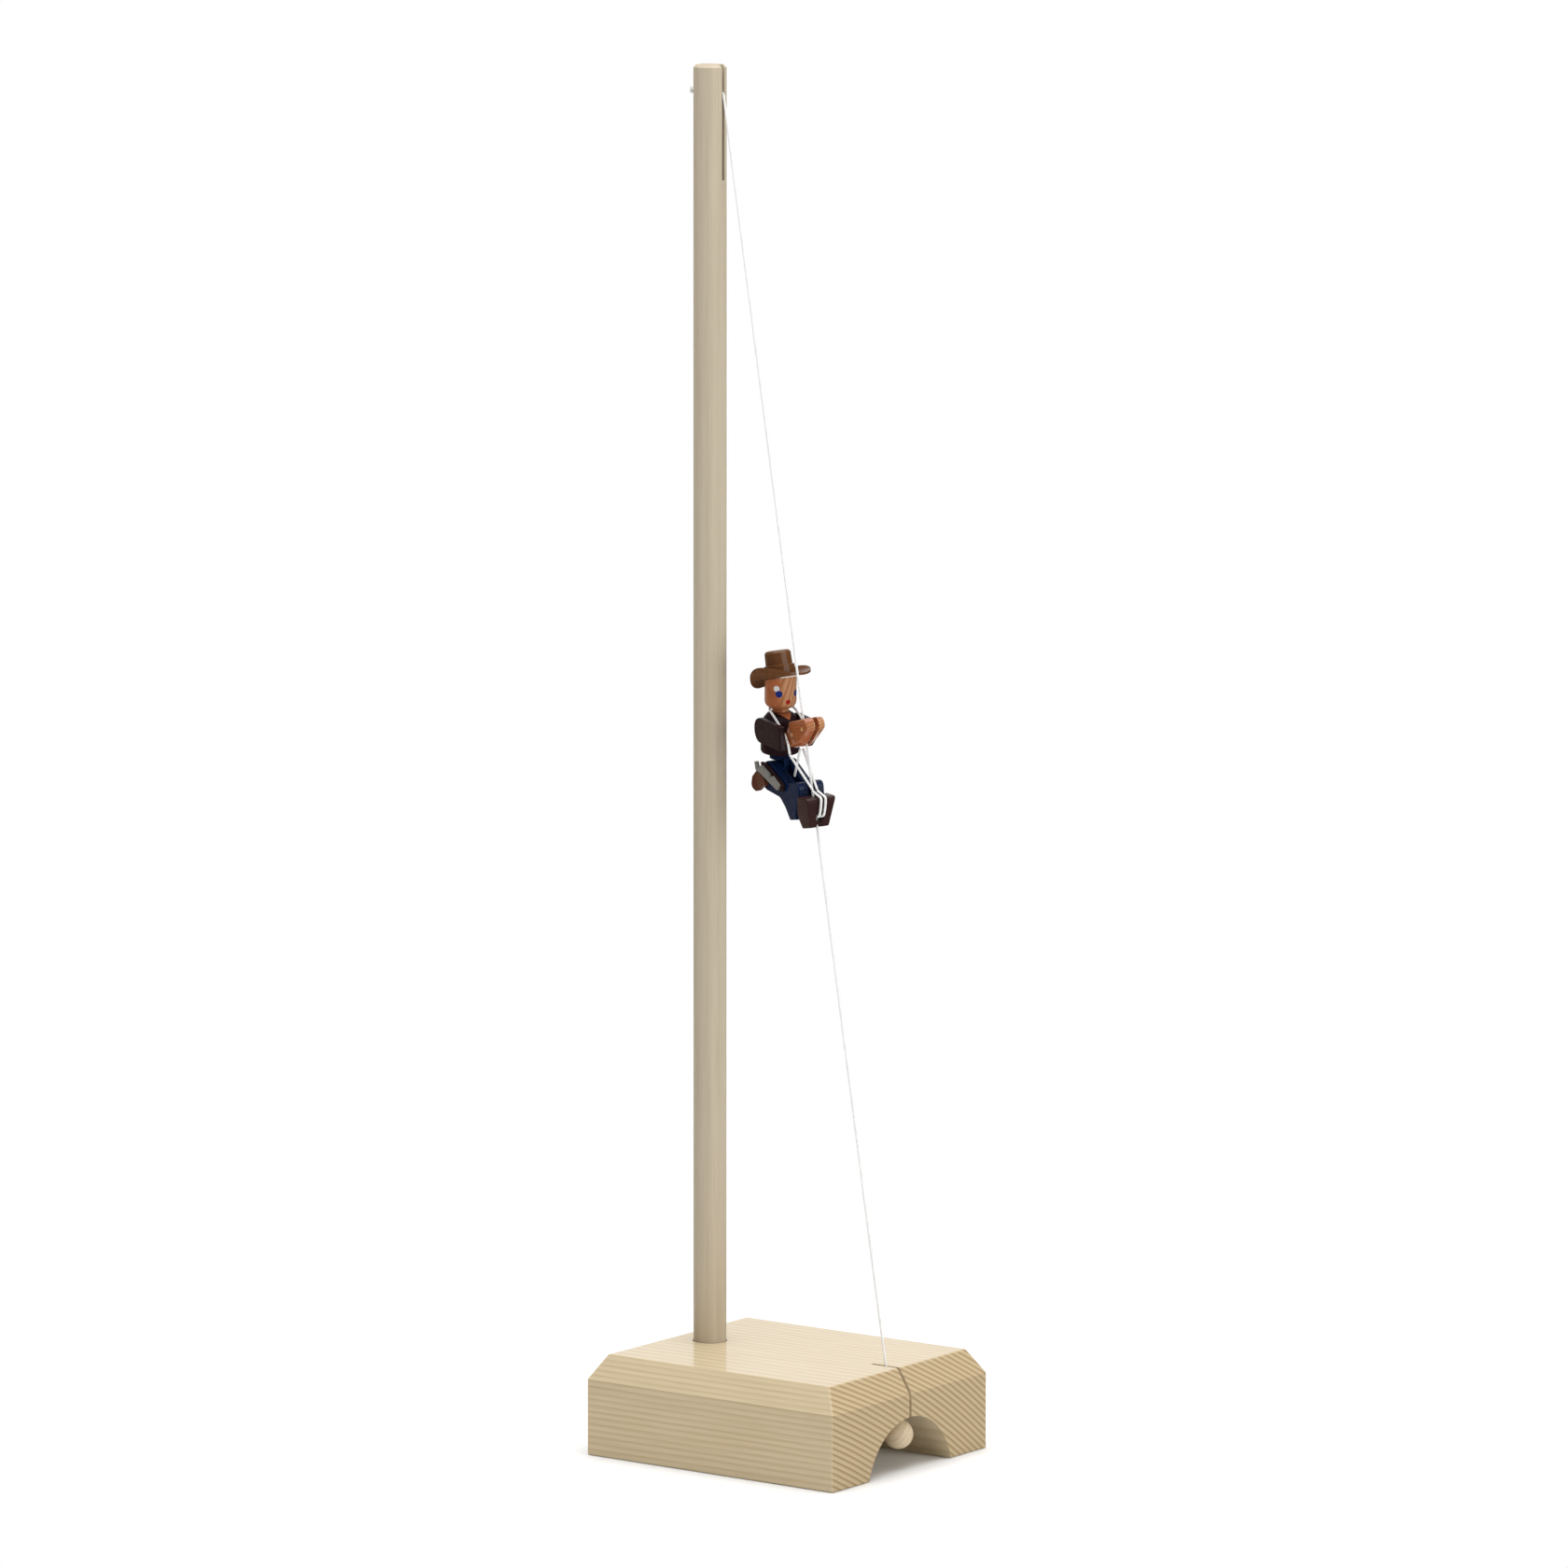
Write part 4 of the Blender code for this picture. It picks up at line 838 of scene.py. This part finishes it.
@dataclass
class Elastic:
    """The covered elastic round the neck, along the hands, to the boots and back."""

    cords: CordMaker
    diameter: float = 0.0009
    gap: float = 0.0003
    side: float = 0.0050
    spread: float = 0.0018
    hem: tuple[float, float] = (-0.0215, 0.0080)
    spine_lean: float = math.radians(16.5)
    torso_height: float = 0.0156
    neck_length: float = 0.0016
    neck_radius: float = 0.0030
    bend_steps: int = 6

    def _round_neck(self, angle: float) -> Vector:
        """A point round the neck, at an angle in degrees from the front."""
        lift = self.neck_radius + self.diameter / 2 + self.gap
        height = self.torso_height + self.neck_length / 2
        ahead = lift * math.cos(math.radians(angle))
        lean = self.spine_lean
        return Vector((self.hem[0] + height * math.sin(lean) + ahead * math.cos(lean),
                       -lift * math.sin(math.radians(angle)),
                       self.hem[1] + height * math.cos(lean) - ahead * math.sin(lean)))

    def build(self) -> None:
        """Makes the loops and strands, in the places of their CAD nodes."""
        # Places forward and up in the figure's frame: down over the hands, then round the boots.
        hands = ((-0.0132, 0.0217), (-0.0089, 0.0174), (-0.0060, 0.0139), (-0.0046, 0.0109),
                 (-0.0043, 0.0076))
        right = [self._round_neck(180), self._round_neck(140), Vector((-0.0164, -0.0046, 0.0240)),
                 *(Vector((x, -self.side, z)) for x, z in hands)]
        left = [Vector((p.x, -p.y, p.z)) for p in right[1:-3]]
        neck = smooth_path([*reversed(right), *left], self.bend_steps)
        half = self.spread / 2
        boots = ((0.0023, -0.0066), (0.0050, -0.0079), (0.0076, -0.0092), (0.0070, -0.0118),
                 (0.0052, -0.0149), (0.0034, -0.0158))
        over = [Vector((x, -half, z)) for x, z in boots] + [Vector((0.0024, -half / 2, -0.0158))]
        back = [Vector((p.x, -p.y, p.z)) for p in reversed(over)]
        loop = smooth_path([*over, *back], self.bend_steps)
        above_loop = Vector((-0.0002, 0.0, 0.00045))
        runs = (
            ("covered_neck_elastic", "neck_elastic", "upper_body", "", neck),
            ("covered_boot_elastic", "boot_elastic", "legs", "", loop),
            ("covered_right_strand", "right_strand", "upper_body", "legs",
             [right[-1] - Vector((0, 0, self.gap)), over[0] + above_loop]),
            ("covered_left_strand", "left_strand", "upper_body", "legs",
             [Vector((-0.0064, 0.0017, 0.0087)), back[-1] + above_loop]),
            ("covered_elastic_tail", "elastic_tail", "upper_body", "",
             [Vector((-0.0040, -0.0008, 0.0088)), Vector((-0.0125, 0.0, -0.0009))]),
        )
        for name, node, body, onto, points in runs:
            self.cords.make(name, [on_figure(tuple(p)) for p in points], self.diameter, "elastic", body,
                            node, strands=6, pitch=0.0022, onto=onto)


@dataclass
class Cowboy:
    """The figure's wooden pieces."""

    workshop: Workshop
    looks: tuple[tuple[str, str], ...] = (
        ("torso", "torso"), ("right_sleeve", "shirt"), ("left_sleeve", "shirt"), ("head", "head"),
        ("waist", "trousers"), ("right_leg", "trousers"), ("left_leg", "trousers"), ("boots", "boots"),
        ("hat_brim", "hat"), ("hat_crown", "hat"), ("right_hand", "hand"), ("left_hand", "hand"),
        ("holster", "holster"), ("revolver", "metal"), ("revolver_grip", "grip"),
        ("rear_hand_pin", "pin"), ("front_hand_pin", "pin"), ("wrist_dowel", "pin"), ("hip_pin", "pin"),
    )

    def build(self) -> None:
        """Dresses every wooden node of the figure."""
        for node, key in self.looks:
            self.workshop.dress(node, key)


@dataclass
class Studio:
    """Floor, soft lights and the camera at the photograph's angle."""

    camera_place: Place = (1.9120, -2.6312, 0.6997)
    azimuth: float = math.radians(36.03)
    elevation: float = math.radians(7.95)
    roll: float = math.radians(0.07)
    focal_pixels: float = 9755.0
    frame_pixels: float = 1680.0
    sensor_width: float = 36.0
    far_limit: float = 20.0
    aim: Place = (0.0, 0.0, 0.25)
    softboxes: tuple[tuple[str, Place, float, float], ...] = (
        ("key_softbox", (0.1, -1.1, 0.9), 0.6, 1.6),
        ("fill_softbox", (1.35, 0.0, 0.42), 0.8, 7.0),
        ("top_softbox", (0.0, 0.0, 1.9), 1.8, 38.0),
    )
    floor_reach: float = 6.0
    floor_drop: float = 0.0001
    floor_colour: Colour = (0.90, 0.90, 0.90)
    floor_fade: tuple[float, float] = (0.13, 0.32)
    ceiling_turn: tuple[float, float] = (0.2, 0.95)
    ceiling_light: tuple[float, float] = (0.04, 0.55)
    wall_way: Place = (-0.588, 0.809, 0.0)
    wall_turn: tuple[float, float] = (0.84, 0.97)
    wall_light: tuple[float, float] = (0.0, 0.9)

    def build(self) -> None:
        """Makes the stage, the lights and the camera."""
        self._floor()
        self._world()
        for softbox in self.softboxes:
            self._light(*softbox)
        self._camera()

    def _floor(self) -> None:
        """A wide pale floor that runs out to plain white, like a lit sweep."""
        mesh = bpy.data.meshes.new("pale_floor")
        corners = ((-1, -1), (1, -1), (1, 1), (-1, 1))
        mesh.from_pydata([(x * self.floor_reach, y * self.floor_reach, -self.floor_drop)
                          for x, y in corners], [], [(0, 1, 2, 3)])
        floor = bpy.data.objects.new("pale_floor", mesh)
        bpy.context.scene.collection.objects.link(floor)
        material = bpy.data.materials.new("pale_floor")
        material.use_nodes = True
        n = Nodes(material.node_tree)
        shader = material.node_tree.nodes["Principled BSDF"]
        away = n.ramp(n.vector("LENGTH", {0: n.add("ShaderNodeTexCoord").outputs["Object"]}, "Value"),
                      *self.floor_fade)
        n.tree.links.new(n.mix(away, self.floor_colour, (0.0, 0.0, 0.0)), shader.inputs["Base Color"])
        n.tree.links.new(away, shader.inputs["Emission Strength"])
        shader.inputs["Emission Color"].default_value = (1.0, 1.0, 1.0, 1.0)
        shader.inputs["Specular IOR Level"].default_value = 0.0
        shader.inputs["Roughness"].default_value = 0.7
        mesh.materials.append(material)
        floor.visible_glossy = False

    def _world(self) -> None:
        """A white surround to the eye, lit as a dim room with a bright ceiling and back wall."""
        world = bpy.data.worlds.new("white_surround")
        world.use_nodes = True
        nodes = Nodes(world.node_tree)
        back = world.node_tree.nodes["Background"]
        back.inputs["Color"].default_value = (1.0, 1.0, 1.0, 1.0)
        way = nodes.add("ShaderNodeTexCoord").outputs["Generated"]
        height = nodes.add("ShaderNodeSeparateXYZ", {0: way}).outputs["Z"]
        wall = nodes.vector("DOT_PRODUCT", {0: way, 1: self.wall_way}, "Value")
        lit = nodes.math("ADD", nodes.ramp(height, *self.ceiling_turn, *self.ceiling_light),
                         nodes.ramp(wall, *self.wall_turn, *self.wall_light))
        seen = nodes.add("ShaderNodeLightPath").outputs["Is Camera Ray"]
        nodes.tree.links.new(nodes.math("MAXIMUM", lit, seen), back.inputs["Strength"])
        bpy.context.scene.world = world
        bpy.context.scene.view_settings.view_transform = "Standard"

    def _light(self, name: str, place: Place, size: float, power: float) -> None:
        """Makes one square softbox aimed at the middle of the toy.

        Args:
            name: the light's name.
            place: its middle, in metres.
            size: the length of its side, in metres.
            power: in watts.
        """
        data = bpy.data.lights.new(name, "AREA")
        data.size = size
        data.energy = power
        light = bpy.data.objects.new(name, data)
        light.location = place
        light.rotation_mode = "QUATERNION"
        light.rotation_quaternion = (Vector(self.aim) - Vector(place)).to_track_quat("-Z", "Y")
        bpy.context.scene.collection.objects.link(light)

    def _camera(self) -> None:
        """Makes the long lens that the photograph's perspective gives."""
        back = Vector((math.sin(self.azimuth) * math.cos(self.elevation),
                       -math.cos(self.azimuth) * math.cos(self.elevation), math.sin(self.elevation)))
        right = (-back).cross(Vector((0, 0, 1))).normalized()
        up = right.cross(-back)
        across = right * math.cos(self.roll) + up * math.sin(self.roll)
        above = -right * math.sin(self.roll) + up * math.cos(self.roll)
        data = bpy.data.cameras.new("long_lens")
        data.sensor_width = self.sensor_width
        data.lens = self.focal_pixels / self.frame_pixels * data.sensor_width
        data.clip_end = self.far_limit
        camera = bpy.data.objects.new("long_lens", data)
        camera.matrix_world = Matrix.Translation(self.camera_place) @ Matrix(
            (across, above, back)).transposed().to_4x4()
        bpy.context.scene.collection.objects.link(camera)
        bpy.context.scene.camera = camera


def main() -> None:
    """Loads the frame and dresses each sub-assembly in order."""
    logging.basicConfig(level=logging.INFO, format="%(message)s")
    for obj in list(bpy.data.objects):
        bpy.data.objects.remove(obj, do_unlink=True)
    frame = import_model()
    Studio().build()
    workshop = Workshop(frame, EffectGroups())
    cords = CordMaker(workshop)
    Stand(workshop).build()
    Strings(cords).build()
    Cowboy(workshop).build()
    Elastic(cords).build()
    bpy.context.view_layer.update()


if __name__ == "__main__":
    main()
